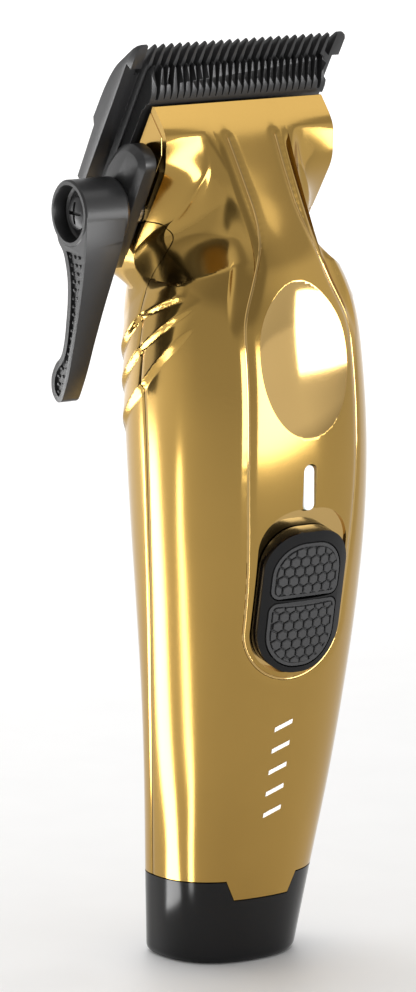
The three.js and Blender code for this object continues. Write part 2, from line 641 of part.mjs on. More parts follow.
const CUTTER = { front: -3.8, back: -0.3 };
const cutterComb = comb({
  half: 19.6, low: -24.4, root: -9.6, tip: -4.4, teeth: 25, rootWidth: 0.95, tipWidth: 0.5, endTooth: 1,
});
const cutterProfile = [
  [CUTTER.back, -4], [CUTTER.back, -25], [-2.6, -25], [-2.6, -12.6], [CUTTER.front, -11.8],
  [CUTTER.front, -8.4], [-0.9, -4],
];
piece(
  "cutter_blade",
  frontSlab(cutterComb, -6, 1).intersect(sideSlab(cutterProfile, -30, 30)),
  BLACK_STEEL,
  bladeFrame,
);

// Carriage: carries the fixed blade and slides down the head when the lever closes.
const pinAngle = LEVER_SWING / 2;
const PIN_ARM = CARRIAGE_TRAVEL / 2 / Math.sin(pinAngle);
const pinAt = {
  y: leverInBlade.y + PIN_ARM * Math.cos(pinAngle),
  z: leverInBlade.z + PIN_ARM * Math.sin(pinAngle),
};
const PIN_RADIUS = 1.2;
const carriage = cut(
  join(
    box(-16.4, 16.4, -3.7, -GAP, -47, -25.4),
    box(-13.6, -11.2, -11, -3.6, -34.2, -25.4),
  ),
  sideSlab(
    [
      [pinAt.y - 2, pinAt.z - PIN_RADIUS - GAP],
      [pinAt.y + 2, pinAt.z - PIN_RADIUS - GAP],
      [pinAt.y + 2, pinAt.z + PIN_RADIUS + GAP],
      [pinAt.y - 2, pinAt.z + PIN_RADIUS + GAP],
    ],
    -15,
    -10,
  ),
  ...[-1, 1].map((side) => rod("y", 2, -5, 1, 10 * side, SCREW_Z, 16)),
);
piece("blade_carriage", carriage, BLACK_PLASTIC, bladeFrame);
for (const side of [-1, 1]) {
  const fixing = screw(3.2, 1.5, 1.7, 6.6).rotate([90, 0, 0]).translate([10 * side, 4.4, SCREW_Z]);
  piece(`blade_screw_${side < 0 ? "left" : "right"}`, fixing, STEEL, bladeFrame);
}

// Yoke: fixed to the cutter, its fork straddles the eccentric's bearing. Made in the clipper's frame.
const FORK = { inner: 5.5, outer: 7, low: 136.4, bridge: 141.7, front: motorY - 1.6, back: motorY + 4 };
const yokeOutline = [
  [FORK.front, FORK.bridge], [FORK.back, FORK.bridge], [FORK.back, 144], [0.6, 150],
  [3.1, 156.4], [-1.3, 163.2], [-3.6, 161.4], [-4.6, 152], [FORK.front, 144.4],
];
const yoke = join(
  sideSlab(yokeOutline, -FORK.outer, FORK.outer),
  box(-FORK.outer, -FORK.inner, FORK.front, FORK.back, FORK.low, 143),
  box(FORK.inner, FORK.outer, FORK.front, FORK.back, FORK.low, 143),
);
piece("cutter_yoke", yoke, WHITE_LENS);

// Blade spring: two legs that press the cutter on the fixed blade, joined across their foot.
const springOutline = [
  [-2.95, -15.5], [-2.95, -19.6], [-6.6, -26.8], [-6.6, -38.1], [-7.4, -38.1], [-7.4, -26.5],
  [-3.7, -19.2], [-3.7, -15.5],
];
const spring = join(
  sideSlab(springOutline, 9.3, 10.8),
  sideSlab(springOutline, -10.8, -9.3),
  box(-10.8, 10.8, -7.4, -6.6, -38.1, -35.6),
);
piece("blade_spring", spring, STEEL, bladeFrame);

// ---------------------------------------------------------------- taper lever
const { y: leverY, z: leverZ } = LEVER;
const armOutline = new THREE.Shape();
armOutline.moveTo(-4.9, leverZ);
armOutline.lineTo(6.4, leverZ);
armOutline.quadraticCurveTo(6.4, 141.6, 3.5, 139.2);
armOutline.quadraticCurveTo(1, 132, 3.4, 122.2);
armOutline.quadraticCurveTo(3.7, 118.8, 5.5, 118.1);
armOutline.quadraticCurveTo(8.2, 116.4, 8.2, 113.2);
armOutline.quadraticCurveTo(8, 110.2, 6.4, 110.1);
armOutline.quadraticCurveTo(4.8, 110, 4.2, 110.9);
armOutline.quadraticCurveTo(-3.9, 128, -4.9, leverZ);
const ARM_TAPER = new THREE.SplineCurve(
  [[-29.7, 108], [-29.5, 116], [-28.8, 124], [-27.6, 131], [-25.9, 138.5], [-24.9, leverZ], [-24.9, 150]].map(
    ([x, z]) => new THREE.Vector2(x, z),
  ),
);
const armWidth = frontSlab(
  [[-40, 150], [-40, 108], ...ARM_TAPER.getPoints(9).map(({ x, y }) => [x, y])],
  -30,
  30,
);
const arm = sideSlab(armOutline, LEVER.outer + 0.2, -24, 5).intersect(armWidth);
const lever = cut(
  join(rod("x", LEVER.hub, LEVER.outer, LEVER.inner, leverY, leverZ, 40), arm),
  rod("x", 5.3, LEVER.outer - 1, -30.6, leverY, leverZ, 32),
  rod("x", 1.7, -31, LEVER.inner + 1, leverY, leverZ, 16),
);
piece("taper_lever", lever, BLACK_PLASTIC);
const leverScrew = screw(3.2, 1.5, 1.4, 12.4).rotate([0, 90, 0]).translate([-32.2, leverY, leverZ]);
piece("lever_screw", leverScrew, BLACK_STEEL);

// Cam: its shaft turns in the bracket, its pin works in the carriage's slot.
const cam = cut(
  join(
    rod("x", CAM.shaft, LEVER.inner + GAP, -15.2, leverInBlade.y, leverInBlade.z, 24),
    rod("x", CAM.disc, -15.4, -13.9, leverInBlade.y, leverInBlade.z, 24),
    rod("x", PIN_RADIUS, -14, -11, pinAt.y, pinAt.z, 14),
  ),
  rod("x", 1.7, -30, -18, leverInBlade.y, leverInBlade.z, 16),
);
piece("lever_cam", cam, STEEL, bladeFrame);

export default clipper;
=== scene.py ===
"""Looks of a cordless hair clipper: gold housings, a black base, blades, a taper lever and a slide switch.

Geometry is worked out in millimetres and turned into metres when a mesh is made. +Z runs from the base
to the blade tips, -Y is the thumb side and -X the side that carries the taper lever.
"""

import json
import math

import bmesh
import bpy
import numpy as np
from mathutils import Matrix, Vector


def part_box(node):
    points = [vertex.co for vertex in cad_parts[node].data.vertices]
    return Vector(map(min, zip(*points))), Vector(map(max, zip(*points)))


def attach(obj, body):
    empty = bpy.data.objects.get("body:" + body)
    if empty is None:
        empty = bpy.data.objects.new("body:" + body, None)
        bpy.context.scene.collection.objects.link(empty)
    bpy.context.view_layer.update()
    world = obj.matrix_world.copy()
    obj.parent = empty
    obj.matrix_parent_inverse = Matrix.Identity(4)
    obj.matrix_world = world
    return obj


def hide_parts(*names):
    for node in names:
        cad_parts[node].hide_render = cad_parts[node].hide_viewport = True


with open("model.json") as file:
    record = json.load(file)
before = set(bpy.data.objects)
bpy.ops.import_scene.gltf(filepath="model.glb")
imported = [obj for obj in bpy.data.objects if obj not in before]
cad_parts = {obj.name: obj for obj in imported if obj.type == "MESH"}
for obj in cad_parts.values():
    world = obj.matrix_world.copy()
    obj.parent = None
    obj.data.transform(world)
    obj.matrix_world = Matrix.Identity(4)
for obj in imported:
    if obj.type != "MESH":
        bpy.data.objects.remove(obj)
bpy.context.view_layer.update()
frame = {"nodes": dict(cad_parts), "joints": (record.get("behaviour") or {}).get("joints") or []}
MM = 0.001

# ------------------------------------------------------------------ places that the frame gives, in mm


def box_mm(node):
    low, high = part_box(node)
    return np.array(low) / MM, np.array(high) / MM


def middle_mm(node):
    low, high = box_mm(node)
    return (low + high) / 2


JOINTS = {joint["name"]: joint for joint in frame["joints"]}
PIVOT = np.array(JOINTS["lever_swing"]["pos_m"]) / MM
SLIDE = JOINTS["switch_slide"]["axis"]
BLADE_AXIS = JOINTS["blade_slide"]["axis"]
BLADE_TILT = math.atan2(BLADE_AXIS[1], -BLADE_AXIS[2])
TIP_Y, TIP_Z = -6.9, 177.6
BLADE = Matrix.Translation((0, TIP_Y, TIP_Z)) @ Matrix.Rotation(BLADE_TILT, 4, "X")
IDENTITY = Matrix.Identity(4)

# ------------------------------------------------------------------ driving dimensions, in mm

WALL = 2.0
SEAM_GAP = 0.22
SEAM_TOP = 144.2  # height at which the seam runs back to the head's rear
CAP_TOP = 17.0
CAP_GAP = 0.25
TAB = {"bottom": 13.0, "half": 6.1, "top_half": 8.4}
HEAD_BACK = -4.2
HEAD_TOP = 166.0
HEAD_HALF = 18.8
FOLD = 160.8  # height of the fold between the head's chamfer and its flanks
NECK_START = 121
NECK_BACK = 30.0
SQUARENESS = 2.4
SWITCH_Z = 74.0
RECESS_DEPTH = 2.1
RECESS = {"width": 19.8, "height": 32.8, "bottom": 9.0, "top": 8.0, "lift": 1.5}
DISH = {"z": 120.4, "y": -30.0, "tilt": -9.1, "half": 12.8, "depth": 4.2, "height": 18.7}

# Handle sections: height, half width, front, seam (the widest line) and back.
HANDLE = np.array(
    [
        (0, 14.3, -11.6, 3, 11.6),
        (17, 16.6, -14.2, -0.4, 9.2),
        (36, 18.9, -17.9, -3.8, 6.5),
        (52, 20.2, -21.6, -5.6, 6.2),
        (70, 21.2, -25.8, -6.9, 8.4),
        (88, 21.8, -28.9, -7.3, 11.1),
        (104, 21.8, -29.9, -6.6, 13.2),
        (118, 21.3, -29.2, -4.9, 14),
        (127, 20.8, -27.5, -4, 14.5),
        (131, 20, -26.3, -3.6, 15),
        (136, 17.6, -24.6, -3, 15.6),
        (142, 13.8, -21.4, -3, 15.8),
    ],
    float,
)
# Neck sections: height, front, edge of the front plate (half width, y) and crease (half width, y).
NECK = np.array(
    [
        (123, -28.3, 12.3, -26.2, 18.4, 9),
        (131, -26, 9.2, -24.6, 18.5, 7.1),
        (138, -23.9, 7.4, -22.8, 18.7, 2.4),
        (150, -16.2, 7.5, -15.6, 18.8, -6.1),
        (154.5, -13.2, 7.7, -12.9, 18.8, -8.9),
        (157, -11.6, 7.9, -11.4, 18.8, -9.1),
        (160.8, -9.1, 8.2, -9.1, 18.8, -9.1),
        (166, -5, 8.2, -5, 18.8, -5),
    ],
    float,
)
# The sharp ridge swept across each flank: height and place between plate edge (0) and crease (1).
FLANK_RIDGE = np.array(
    [(136, 0.93), (138.5, 0.92), (141.5, 0.85), (145, 0.73), (150, 0.53), (154.6, 0.28), (158, 0.2)]
)
PLATE_PROUD = 3.0  # height of the step down from the plate's edge to the flank
SPOON_DEPTH = 1.3
RIBS = [(127.0, 0.42), (120.9, 0.66), (114.0, 0.88)]  # height at the seam and slope of each rib's lip
RIB_REAR_SLOPE = 0.83
RIB_RISE = 0.8
RIB_LIP = 1.0  # width of the step under each rib


# ------------------------------------------------------------------ smooth curves through stations


def smoothstep(value, low, high):
    t = np.clip((np.asarray(value, float) - low) / (high - low), 0, 1)
    return t * t * (3 - 2 * t)


def station_curve(heights, values, blur):
    """A function of height: a smooth curve through the stations, softened over blur mm."""
    slopes = np.gradient(values, heights)
    fine = np.arange(heights[0] - 30, heights[-1] + 30, 0.25)
    i = np.clip(np.searchsorted(heights, fine) - 1, 0, len(heights) - 2)
    span = heights[i + 1] - heights[i]
    t = np.clip((fine - heights[i]) / span, 0, 1)
    curve = (
        values[i] * (2 * t**3 - 3 * t**2 + 1)
        + values[i + 1] * (3 * t**2 - 2 * t**3)
        + slopes[i] * span * (t**3 - 2 * t**2 + t)
        + slopes[i + 1] * span * (t**3 - t**2)
    )
    curve += np.minimum(fine - heights[0], 0) * slopes[0]
    curve += np.maximum(fine - heights[-1], 0) * slopes[-1]
    reach = np.arange(-3 * blur, 3 * blur + 0.25, 0.25)
    kernel = np.exp(-0.5 * (reach / blur) ** 2)
    soft = np.convolve(np.pad(curve, len(reach), "edge"), kernel / kernel.sum(), "same")
    soft = soft[len(reach) : -len(reach)]
    return lambda z: np.interp(z, fine, soft)


half_at, front_at, seam_at, back_at = (
    station_curve(HANDLE[:, 0], HANDLE[:, k], 3.0) for k in range(1, 5)
)
neck_front, plate_half, plate_y, crease_half, crease_y = (
    station_curve(NECK[:, 0], NECK[:, k], 1.0) for k in range(1, 6)
)
ridge_at = station_curve(FLANK_RIDGE[:, 0], FLANK_RIDGE[:, 1], 1.0)

SWITCH_LEAN = math.atan2(-SLIDE[1], SLIDE[2])
SWITCH = Matrix.Translation((0, float(front_at(SWITCH_Z)), SWITCH_Z)) @ Matrix.Rotation(SWITCH_LEAN, 4, "X")


# ------------------------------------------------------------------ meshes


def linked(thing):
    bpy.context.scene.collection.objects.link(thing)
    return thing


def new_object(name, points, faces, *materials):
    """A mesh object from points in millimetres."""
    mesh = bpy.data.meshes.new(name)
    mesh.from_pydata([tuple(p) for p in np.asarray(points, float) * MM], [], faces)
    for material in materials:
        mesh.materials.append(material)
    mesh.validate()
    return linked(bpy.data.objects.new(name, mesh))


def band_faces(rings, count, start=0):
    """Quads between rings of count points each, which follow one another from point number start."""
    faces = []
    for low in range(start, start + (rings - 1) * count, count):
        for k in range(count):
            n = (k + 1) % count
            faces.append((low + k, low + n, low + count + n, low + count + k))
    return faces


def transformed(points, matrix):
    return [matrix @ Vector(p) for p in points]


def evaluate(thing):
    """Applies the object's modifiers to its mesh."""
    evaluated = thing.evaluated_get(bpy.context.evaluated_depsgraph_get())
    mesh = bpy.data.meshes.new_from_object(evaluated)
    thing.modifiers.clear()
    old = thing.data
    thing.data = mesh
    bpy.data.meshes.remove(old)
    mesh.name = thing.name
    return thing


def combine(thing, other, operation):
    """Joins or cuts thing with other, which is used up."""
    modifier = thing.modifiers.new("combine", "BOOLEAN")
    modifier.object = other
    modifier.operation = operation
    modifier.solver = "MANIFOLD"
    evaluate(thing)
    bpy.data.objects.remove(other)
    return thing


def carve(thing, *cutters):
    for cutter in cutters:
        combine(thing, cutter, "DIFFERENCE")
    return thing


def bevel(thing, width, segments=2, angle=30):
    modifier = thing.modifiers.new("bevel", "BEVEL")
    modifier.width = width * MM
    modifier.segments = segments
    modifier.limit_method = "ANGLE"
    modifier.angle_limit = math.radians(angle)
    modifier.use_clamp_overlap = True
    modifier.harden_normals = False
    return evaluate(thing)


def shade(thing, angle=35):
    """Smooth shading that stays crisp at steep edges."""
    mesh = thing.data
    mesh.shade_smooth()
    mesh.set_sharp_from_angle(angle=math.radians(angle))
    return thing


def prism(name, outline, low, high, matrix, *materials):
    """A closed outline of [a, b] swept from low to high along the third axis of matrix's frame."""
    count = len(outline)
    points = [(a, b, h) for h in (low, high) for a, b in outline]
    faces = [(i, (i + 1) % count, count + (i + 1) % count, count + i) for i in range(count)]
    faces += [tuple(range(count))[::-1], tuple(range(count, 2 * count))]
    thing = new_object(name, transformed(points, matrix), faces, *materials)
    outward(thing)
    return thing


def outward(thing):
    work = bmesh.new()
    work.from_mesh(thing.data)
    bmesh.ops.recalc_face_normals(work, faces=work.faces)
    work.to_mesh(thing.data)
    work.free()


# Frames for prism: the outline's first and second axes, then the direction of the sweep.
SIDE = Matrix(((0, 0, 1, 0), (1, 0, 0, 0), (0, 1, 0, 0), (0, 0, 0, 1)))  # [y, z] swept along x
FRONT = Matrix(((1, 0, 0, 0), (0, 0, 1, 0), (0, 1, 0, 0), (0, 0, 0, 1)))  # [x, z] swept along y
PLAN = IDENTITY  # [x, y] swept along z


def block(name, x, y, z, matrix, *materials):
    outline = [(x[0], y[0]), (x[1], y[0]), (x[1], y[1]), (x[0], y[1])]
    return prism(name, outline, z[0], z[1], matrix, *materials)


def arc(cx, cy, radius, start, end, steps):
    turn = np.radians(np.linspace(start, end, steps + 1))
    return [(cx + radius * math.cos(t), cy + radius * math.sin(t)) for t in turn]


def rounded_outline(width, height, bottom, top, cx=0.0, cy=0.0, steps=16):
    """A rounded rectangle with its own corner radius at the bottom and at the top."""
    x, y = width / 2, height / 2
    return (
        arc(cx + x - bottom, cy - y + bottom, bottom, -90, 0, steps)
        + arc(cx + x - top, cy + y - top, top, 0, 90, steps)
        + arc(cx - x + top, cy + y - top, top, 90, 180, steps)
        + arc(cx - x + bottom, cy - y + bottom, bottom, 180, 270, steps)
    )


def turned(name, profile, centre, axis, steps, *materials):
    """A solid of revolution: [along, radius] pairs round an axis letter through centre."""
    turn = np.linspace(0, 2 * math.pi, steps, endpoint=False)
    points = []
    for a, r in profile:
        for t in turn:
            b, c = max(r, 1e-4) * math.cos(t), max(r, 1e-4) * math.sin(t)
            local = {"x": (a, b, c), "y": (b, a, c), "z": (b, c, a)}[axis]
            points.append([local[k] + centre[k] for k in range(3)])
    last = (len(profile) - 1) * steps
    faces = band_faces(len(profile), steps) + [tuple(range(steps)), tuple(range(last, last + steps))]
    thing = new_object(name, points, faces, *materials)
    outward(thing)
    return thing


def tube(name, path, radius, sides, *materials):
    """A round tube along path, a list of points, with flat ends."""
    path = np.asarray(path, float)
    points = []
    for p, d in zip(path, np.gradient(path, axis=0)):
        d = d / np.linalg.norm(d)
        across = np.cross(d, (0.0, 1.0, 0.1))
        across /= np.linalg.norm(across)
        up = np.cross(across, d)
        for t in np.linspace(0, 2 * math.pi, sides, endpoint=False):
            points.append(p + radius * (math.cos(t) * across + math.sin(t) * up))
    last = (len(path) - 1) * sides
    faces = band_faces(len(path), sides) + [tuple(range(sides)), tuple(range(last, last + sides))]
    thing = new_object(name, points, faces, *materials)
    outward(thing)
    return thing


# ------------------------------------------------------------------ materials


def node(tree, kind, **settings):
    made = tree.nodes.new(kind)
    for key, value in settings.items():
        if key in made.inputs:
            made.inputs[key].default_value = value
        else:
            setattr(made, key, value)
    return made


def surface(
    name,
    color,
    rough,
    metallic=0.0,
    shift=0.12,
    grain=900.0,
    bump=0.02,
    stretch=(1, 1, 1),
    patch=45.0,
    **sockets,
):
    """A finish with fine grain, soft patches of lighter and darker colour, and uneven gloss."""
    material = bpy.data.materials.new(name)
    material.use_nodes = True
    tree = material.node_tree
    shader = tree.nodes["Principled BSDF"]
    shader.inputs["Metallic"].default_value = metallic
    for key, value in sockets.items():
        shader.inputs[key.replace("_", " ")].default_value = value
    where = node(tree, "ShaderNodeTexCoord")
    spread = node(tree, "ShaderNodeMapping")
    spread.inputs["Scale"].default_value = stretch
    tree.links.new(where.outputs["Object"], spread.inputs["Vector"])
    fine = node(tree, "ShaderNodeTexNoise", Scale=grain, Detail=3.0, Roughness=0.6)
    broad = node(tree, "ShaderNodeTexNoise", Scale=patch, Detail=2.0)
    tree.links.new(spread.outputs["Vector"], fine.inputs["Vector"])
    tree.links.new(where.outputs["Object"], broad.inputs["Vector"])
    tint = node(tree, "ShaderNodeValToRGB")
    tint.color_ramp.elements[0].position = 0.3
    tint.color_ramp.elements[1].position = 0.7
    tint.color_ramp.elements[0].color = (*[c * (1 - shift) for c in color], 1)
    tint.color_ramp.elements[1].color = (*[min(c * (1 + shift), 1) for c in color], 1)
    tree.links.new(broad.outputs["Fac"], tint.inputs["Fac"])
    tree.links.new(tint.outputs["Color"], shader.inputs["Base Color"])
    gloss = node(tree, "ShaderNodeMapRange")
    gloss.inputs["To Min"].default_value = rough[0]
    gloss.inputs["To Max"].default_value = rough[1]
    tree.links.new(fine.outputs["Fac"], gloss.inputs["Value"])
    tree.links.new(gloss.outputs["Result"], shader.inputs["Roughness"])
    relief = node(tree, "ShaderNodeBump", Strength=bump, Distance=0.0002)
    tree.links.new(fine.outputs["Fac"], relief.inputs["Height"])
    tree.links.new(relief.outputs["Normal"], shader.inputs["Normal"])
    return material


GOLD = surface("gold_plating", (0.455, 0.285, 0.078), (0.13, 0.17), 1.0, shift=0.03, grain=2500, bump=0.01)
GOLD_CUT = surface(
    "gold_polished_cut", (0.60, 0.40, 0.15), (0.07, 0.10), 1.0, shift=0.03, grain=2500, bump=0.008
)
BLACK_GLOSS = surface(
    "black_gloss", (0.003, 0.003, 0.0033), (0.14, 0.20), shift=0.2, bump=0.015, Specular_IOR_Level=0.3
)
BLACK_SATIN = surface(
    "black_satin_plastic", (0.016, 0.016, 0.0165), (0.30, 0.40), shift=0.15, grain=3500, bump=0.08
)
BLACK_STEEL = surface(
    "black_coated_steel",
    (0.034, 0.034, 0.035),
    (0.30, 0.40),
    0.4,
    shift=0.12,
    grain=1400,
    stretch=(1, 6, 0.15),
    bump=0.05,
)
RUBBER = surface("black_rubber", (0.022, 0.022, 0.023), (0.55, 0.68), shift=0.15, grain=4200, bump=0.15)
STEEL = surface(
    "bright_steel", (0.52, 0.53, 0.55), (0.22, 0.32), 1.0, shift=0.06, grain=1200, stretch=(1, 1, 8)
)
BRASS = surface("brass", (0.72, 0.50, 0.20), (0.2, 0.3), 1.0, shift=0.08)
COPPER = surface(
    "copper_wire", (0.62, 0.26, 0.10), (0.25, 0.4), 1.0, shift=0.1, grain=600, stretch=(1, 1, 14), bump=0.4
)
MAGNET = surface("sintered_magnet", (0.12, 0.125, 0.13), (0.45, 0.6), 0.6, shift=0.1, bump=0.1)
WHITE_PLASTIC = surface("white_plastic", (0.78, 0.78, 0.77), (0.3, 0.4), shift=0.03, bump=0.03)
BOARD = surface("green_board", (0.02, 0.14, 0.05), (0.35, 0.5), shift=0.25, grain=500, patch=300)
WRAP = surface("battery_wrap", (0.03, 0.16, 0.42), (0.25, 0.35), shift=0.08, bump=0.05)
# The lens and the LED behind it carry a faint white emission: a painted glow that brightens the pale
# window.
LENS_PAINTED_GLOW = surface(
    "white_lens_painted_glow",
    (0.86, 0.86, 0.88),
    (0.12, 0.2),
    shift=0.02,
    bump=0.01,
    Subsurface_Weight=0.2,
    Emission_Strength=0.15,
)
INK = surface("white_ink", (0.85, 0.84, 0.80), (0.4, 0.5), shift=0.03, grain=3000, bump=0.05)

# The finish of each CAD node that stays.
FINISHED_NODES = [
    (STEEL, "base_screw_left", "base_screw_right", "frame_screw_left", "frame_screw_right"),
    (STEEL, "charging_socket", "toggle_switch", "blade_spring", "lever_cam"),
    (STEEL, "motor_can", "motor_shaft", "rear_bearing", "front_bearing", "eccentric_bearing"),
    (BRASS, "dock_contact_left", "dock_contact_right", "eccentric"),
    (BLACK_SATIN, "battery_cradle", "toggle_nub", "control_chip", "motor_end_cap", "head_frame"),
    (BLACK_SATIN, "blade_carriage"),
    (BLACK_STEEL, "blade_screw_left", "blade_screw_right"),
    (BOARD, "charge_board", "circuit_board"),
    (WRAP, "battery_cell"),
    (COPPER, "motor_winding"),
    (MAGNET, "rotor_magnet"),
    (WHITE_PLASTIC, "cutter_yoke"),
    # The LED takes the lens material with its painted glow.
    (LENS_PAINTED_GLOW, "indicator_led"),
]


def finish_cad_nodes():
    for material, *names in FINISHED_NODES:
        for name in names:
            mesh = frame["nodes"][name].data
            mesh.materials.clear()
            mesh.materials.append(material)


# ------------------------------------------------------------------ the body's surface

PLATE_COLUMNS, FLANK_COLUMNS, BACK_COLUMNS = 24, 64, 44


def handle_half(z, u, inset=0.0):
    """Right half of a handle section. u runs 0..1 over the plate, 1..2 to the seam and 2..3 to the back."""
    angle = np.radians(np.where(u <= 1, 30 * u, np.where(u <= 2, 30 + 60 * (u - 1), 90 + 90 * (u - 2))))
    power = 2 / SQUARENESS
    far = np.where(u <= 2, front_at(z), back_at(z)) - seam_at(z)
    reach = np.abs(far) - inset
    x = (half_at(z) - inset) * np.abs(np.sin(angle)) ** power
    y = seam_at(z) + np.sign(far) * reach * np.abs(np.cos(angle)) ** power
    return np.where((u == 0) | (u == 3), 0, x), y


def flank_sink(t, z):
    """How far the flank lies below the line from plate edge to crease: a step, a spoon and a facet."""
    ridge = np.clip(ridge_at(z), 0.15, 0.93)
    top = FOLD - 3.0 * np.clip(1 - t / 0.22, 0, 1) ** 2
    rise = 1 - np.exp(-np.maximum(top - z, 0) / 4.5)
    a = np.clip(t / ridge, 0, 1)
    b = np.clip((t - ridge) / (1 - ridge), 0, 1)
    low = 0.35 + 0.65 * smoothstep(z, 134, 144)
    wall = 0.36 + 0.24 * smoothstep(157 - z, 0, 10)
    step = PLATE_PROUD * low * smoothstep(t / wall, 0, 1) * (1 - t)
    spoon = SPOON_DEPTH * low * smoothstep(FOLD - z, 2, 14) * np.where(t <= ridge, 4 * a * (1 - a), 0)
    facet = 0.4 * np.where(t > ridge, 4 * b * (1 - b), 0)
    return rise * (step + facet) + spoon


def neck_half(z, u):
    """Right half of a neck or head section in the same columns. It reaches past the head's back plane."""
    ridge = np.clip(ridge_at(z), 0.15, 0.93)
    v = np.clip(u - 1, 0, 1)
    t = np.where(v < 0.5, 2 * v * ridge, ridge + (2 * v - 1) * (1 - ridge))
    sink = flank_sink(t, z)
    across, back_by = crease_half(z) - plate_half(z), crease_y(z) - plate_y(z)
    length = np.hypot(across, back_by)
    x_flank = plate_half(z) + across * t - sink * back_by / length
    y_flank = plate_y(z) + back_by * t + sink * across / length
    back = np.clip(u - 2, 0, 1)
    x_back = crease_half(z) * np.minimum(1, 2 - 2 * back)
    y_back = crease_y(z) + (NECK_BACK - crease_y(z)) * np.minimum(1, 2 * back)
    x = np.where(u <= 1, plate_half(z) * u, np.where(u <= 2, x_flank, x_back))
    y_plate = neck_front(z) + (plate_y(z) - neck_front(z)) * u**2
    y_plate = y_plate + 0.8 * smoothstep(u, 0.72, 1) ** 2 * smoothstep(FOLD - z, 0, 4)
    return x, np.where(u <= 1, y_plate, np.where(u <= 2, y_flank, y_back))


def shoulder(u, z):
    """The neck's share in each column. The plate changes over low down, the flank above the rim."""
    v = np.clip(u - 1, 0, 1)
    rim = 138 - 7 * v
    flank = 1 - (1 - np.clip((z - rim) / (12 - 4 * v), 0, 1)) ** 1.8
    near = smoothstep(v, 0, 0.17)
    return smoothstep(z, 122, 137) * (1 - near) + flank * near


def body_half(z, u):
    """Right half of the whole body's section: handle, neck or a blend of the two."""
    x0, y0 = handle_half(min(z, HANDLE[-1, 0]), u)
    if z <= NECK_START:
        return x0, y0
    x1, y1 = neck_half(z, u)
    w = shoulder(u, z)
    return x0 + (x1 - x0) * w, y0 + (y1 - y0) * w


def outer_grid(levels):
    u = np.concatenate(
        [
            np.linspace(0, 1, PLATE_COLUMNS),
            np.linspace(1, 2, FLANK_COLUMNS)[1:],
            2 + np.linspace(0, 1, BACK_COLUMNS)[1:] ** 1.5,
        ]
    )
    grid = np.zeros((len(levels), len(u), 3))
    for row, z in enumerate(levels):
        grid[row, :, 0], grid[row, :, 1] = body_half(z, u)
        grid[row, :, 2] = z
    return grid, u


def grid_normals(grid):
    down = np.gradient(grid, axis=0)
    across = np.gradient(grid, axis=1)
    normal = np.cross(across, down)
    return normal / np.maximum(np.linalg.norm(normal, axis=2, keepdims=True), 1e-9)


def rib_height(s, z):
    """Outward swell of the three slanted shingle ribs, s mm in front of the seam."""
    blend = smoothstep(s, -2, 2)
    lips = [height + (slope * blend + RIB_REAR_SLOPE * (1 - blend)) * s for height, slope in RIBS]
    tops = [lips[0] + 5.6] + lips[:-1]
    swell = np.zeros_like(s)
    for lip, top in zip(lips, tops):
        a = (z - lip) / np.maximum(top - lip, 0.5)
        swell = np.maximum(swell, np.where(z > lip, np.clip(1 - a, 0, 1) ** 1.2, 0))
        swell = np.maximum(swell, np.where(z <= lip, 1 - smoothstep(lip - z, 0, RIB_LIP), 0))
    fade = smoothstep(s, -14, -8) * smoothstep(15 - s, 0, 5.5)
    return RIB_RISE * swell * fade


def plate_edge_path():
    """The groove round the front plate: down both edges of the neck and round under the switch."""
    right = []
    for z in np.arange(160.0, 100.0, -0.6):
        x, y = body_half(z, np.array([1.0 - 0.35 * float(smoothstep(z, 134, 149))]))
        right.append((float(x[0]), float(y[0]), z))
    start = right[-1][0]
    low = SWITCH_Z - RECESS["height"] / 2 + 0.4
    corner = 11.0
    for z in np.arange(99.4, low + corner, -0.6):
        x = corner + (start - corner) * smoothstep(z, low + corner, 100)
        right.append((float(x), front_surface(x, z), z))
    for t in np.radians(np.arange(0, 90, 3.0)):
        x, z = corner * math.cos(t), low + corner - corner * math.sin(t)
        right.append((x, front_surface(x, z), z))
    left = [(-x, y, z) for x, y, z in reversed(right)]
    return right + [(0.0, front_surface(0, low), low)] + left


def front_surface(x, z):
    """y of the handle's front at x and z."""
    share = 1 - (abs(x) / float(half_at(z))) ** SQUARENESS
    return float(seam_at(z) + (front_at(z) - seam_at(z)) * share ** (1 / SQUARENESS))


def near_path(points, path):
    """Distance from each point to the nearest point of a path."""
    path = np.asarray(path)
    flat = points.reshape(-1, 3)
    best = np.full(len(flat), 1e9)
    for start in range(0, len(path), 12):
        part = path[start : start + 12]
        gap = ((flat[:, None, :] - part[None, :, :]) ** 2).sum(2).min(1)
        best = np.minimum(best, gap)
    return np.sqrt(best).reshape(points.shape[:2])


def detail(grid, u):
    """Adds the ribs, the soft valley of the plate's edge and the small chamfer along the seam."""
    normal = grid_normals(grid)
    seam = int(np.argmin(np.abs(u - 2)))
    step = np.linalg.norm(np.diff(grid, axis=1), axis=2)
    arc_length = np.concatenate([np.zeros((len(grid), 1)), np.cumsum(step, axis=1)], axis=1)
    s = arc_length[:, seam : seam + 1] - arc_length
    z = grid[:, :, 2]
    low = z < 133
    rise = np.where(low, rib_height(s, z), 0)
    rise -= 0.28 * np.exp(-((near_path(grid, EDGE_PATH) / 0.85) ** 2))
    rise -= np.where(z < 131, 0.14 * np.exp(-((s / 0.45) ** 2)), 0)
    out = grid + normal * rise[:, :, None]
    out[:, :, 2] = np.where((z <= z.min()) | (z >= z.max()), z, out[:, :, 2])
    out[:, 0, 0] = 0
    out[:, -1, 0] = 0
    return out


def loft(name, grid, *materials):
    """A closed solid from the right halves of its sections, mirrored to the left, with flat ends."""
    rows = len(grid)
    left = grid[:, -2:0:-1, :] * np.array([-1, 1, 1])
    ring = np.concatenate([grid, left], axis=1)
    count = ring.shape[1]
    ends = [tuple(range(count))[::-1], tuple(range((rows - 1) * count, rows * count))]
    faces = band_faces(rows, count) + ends
    thing = new_object(name, ring.reshape(-1, 3), faces, *materials)
    outward(thing)
    return thing


def section_stack(levels, half_section):
    return np.array([[(x, y, z) for x, y in half_section(z)] for z in levels])


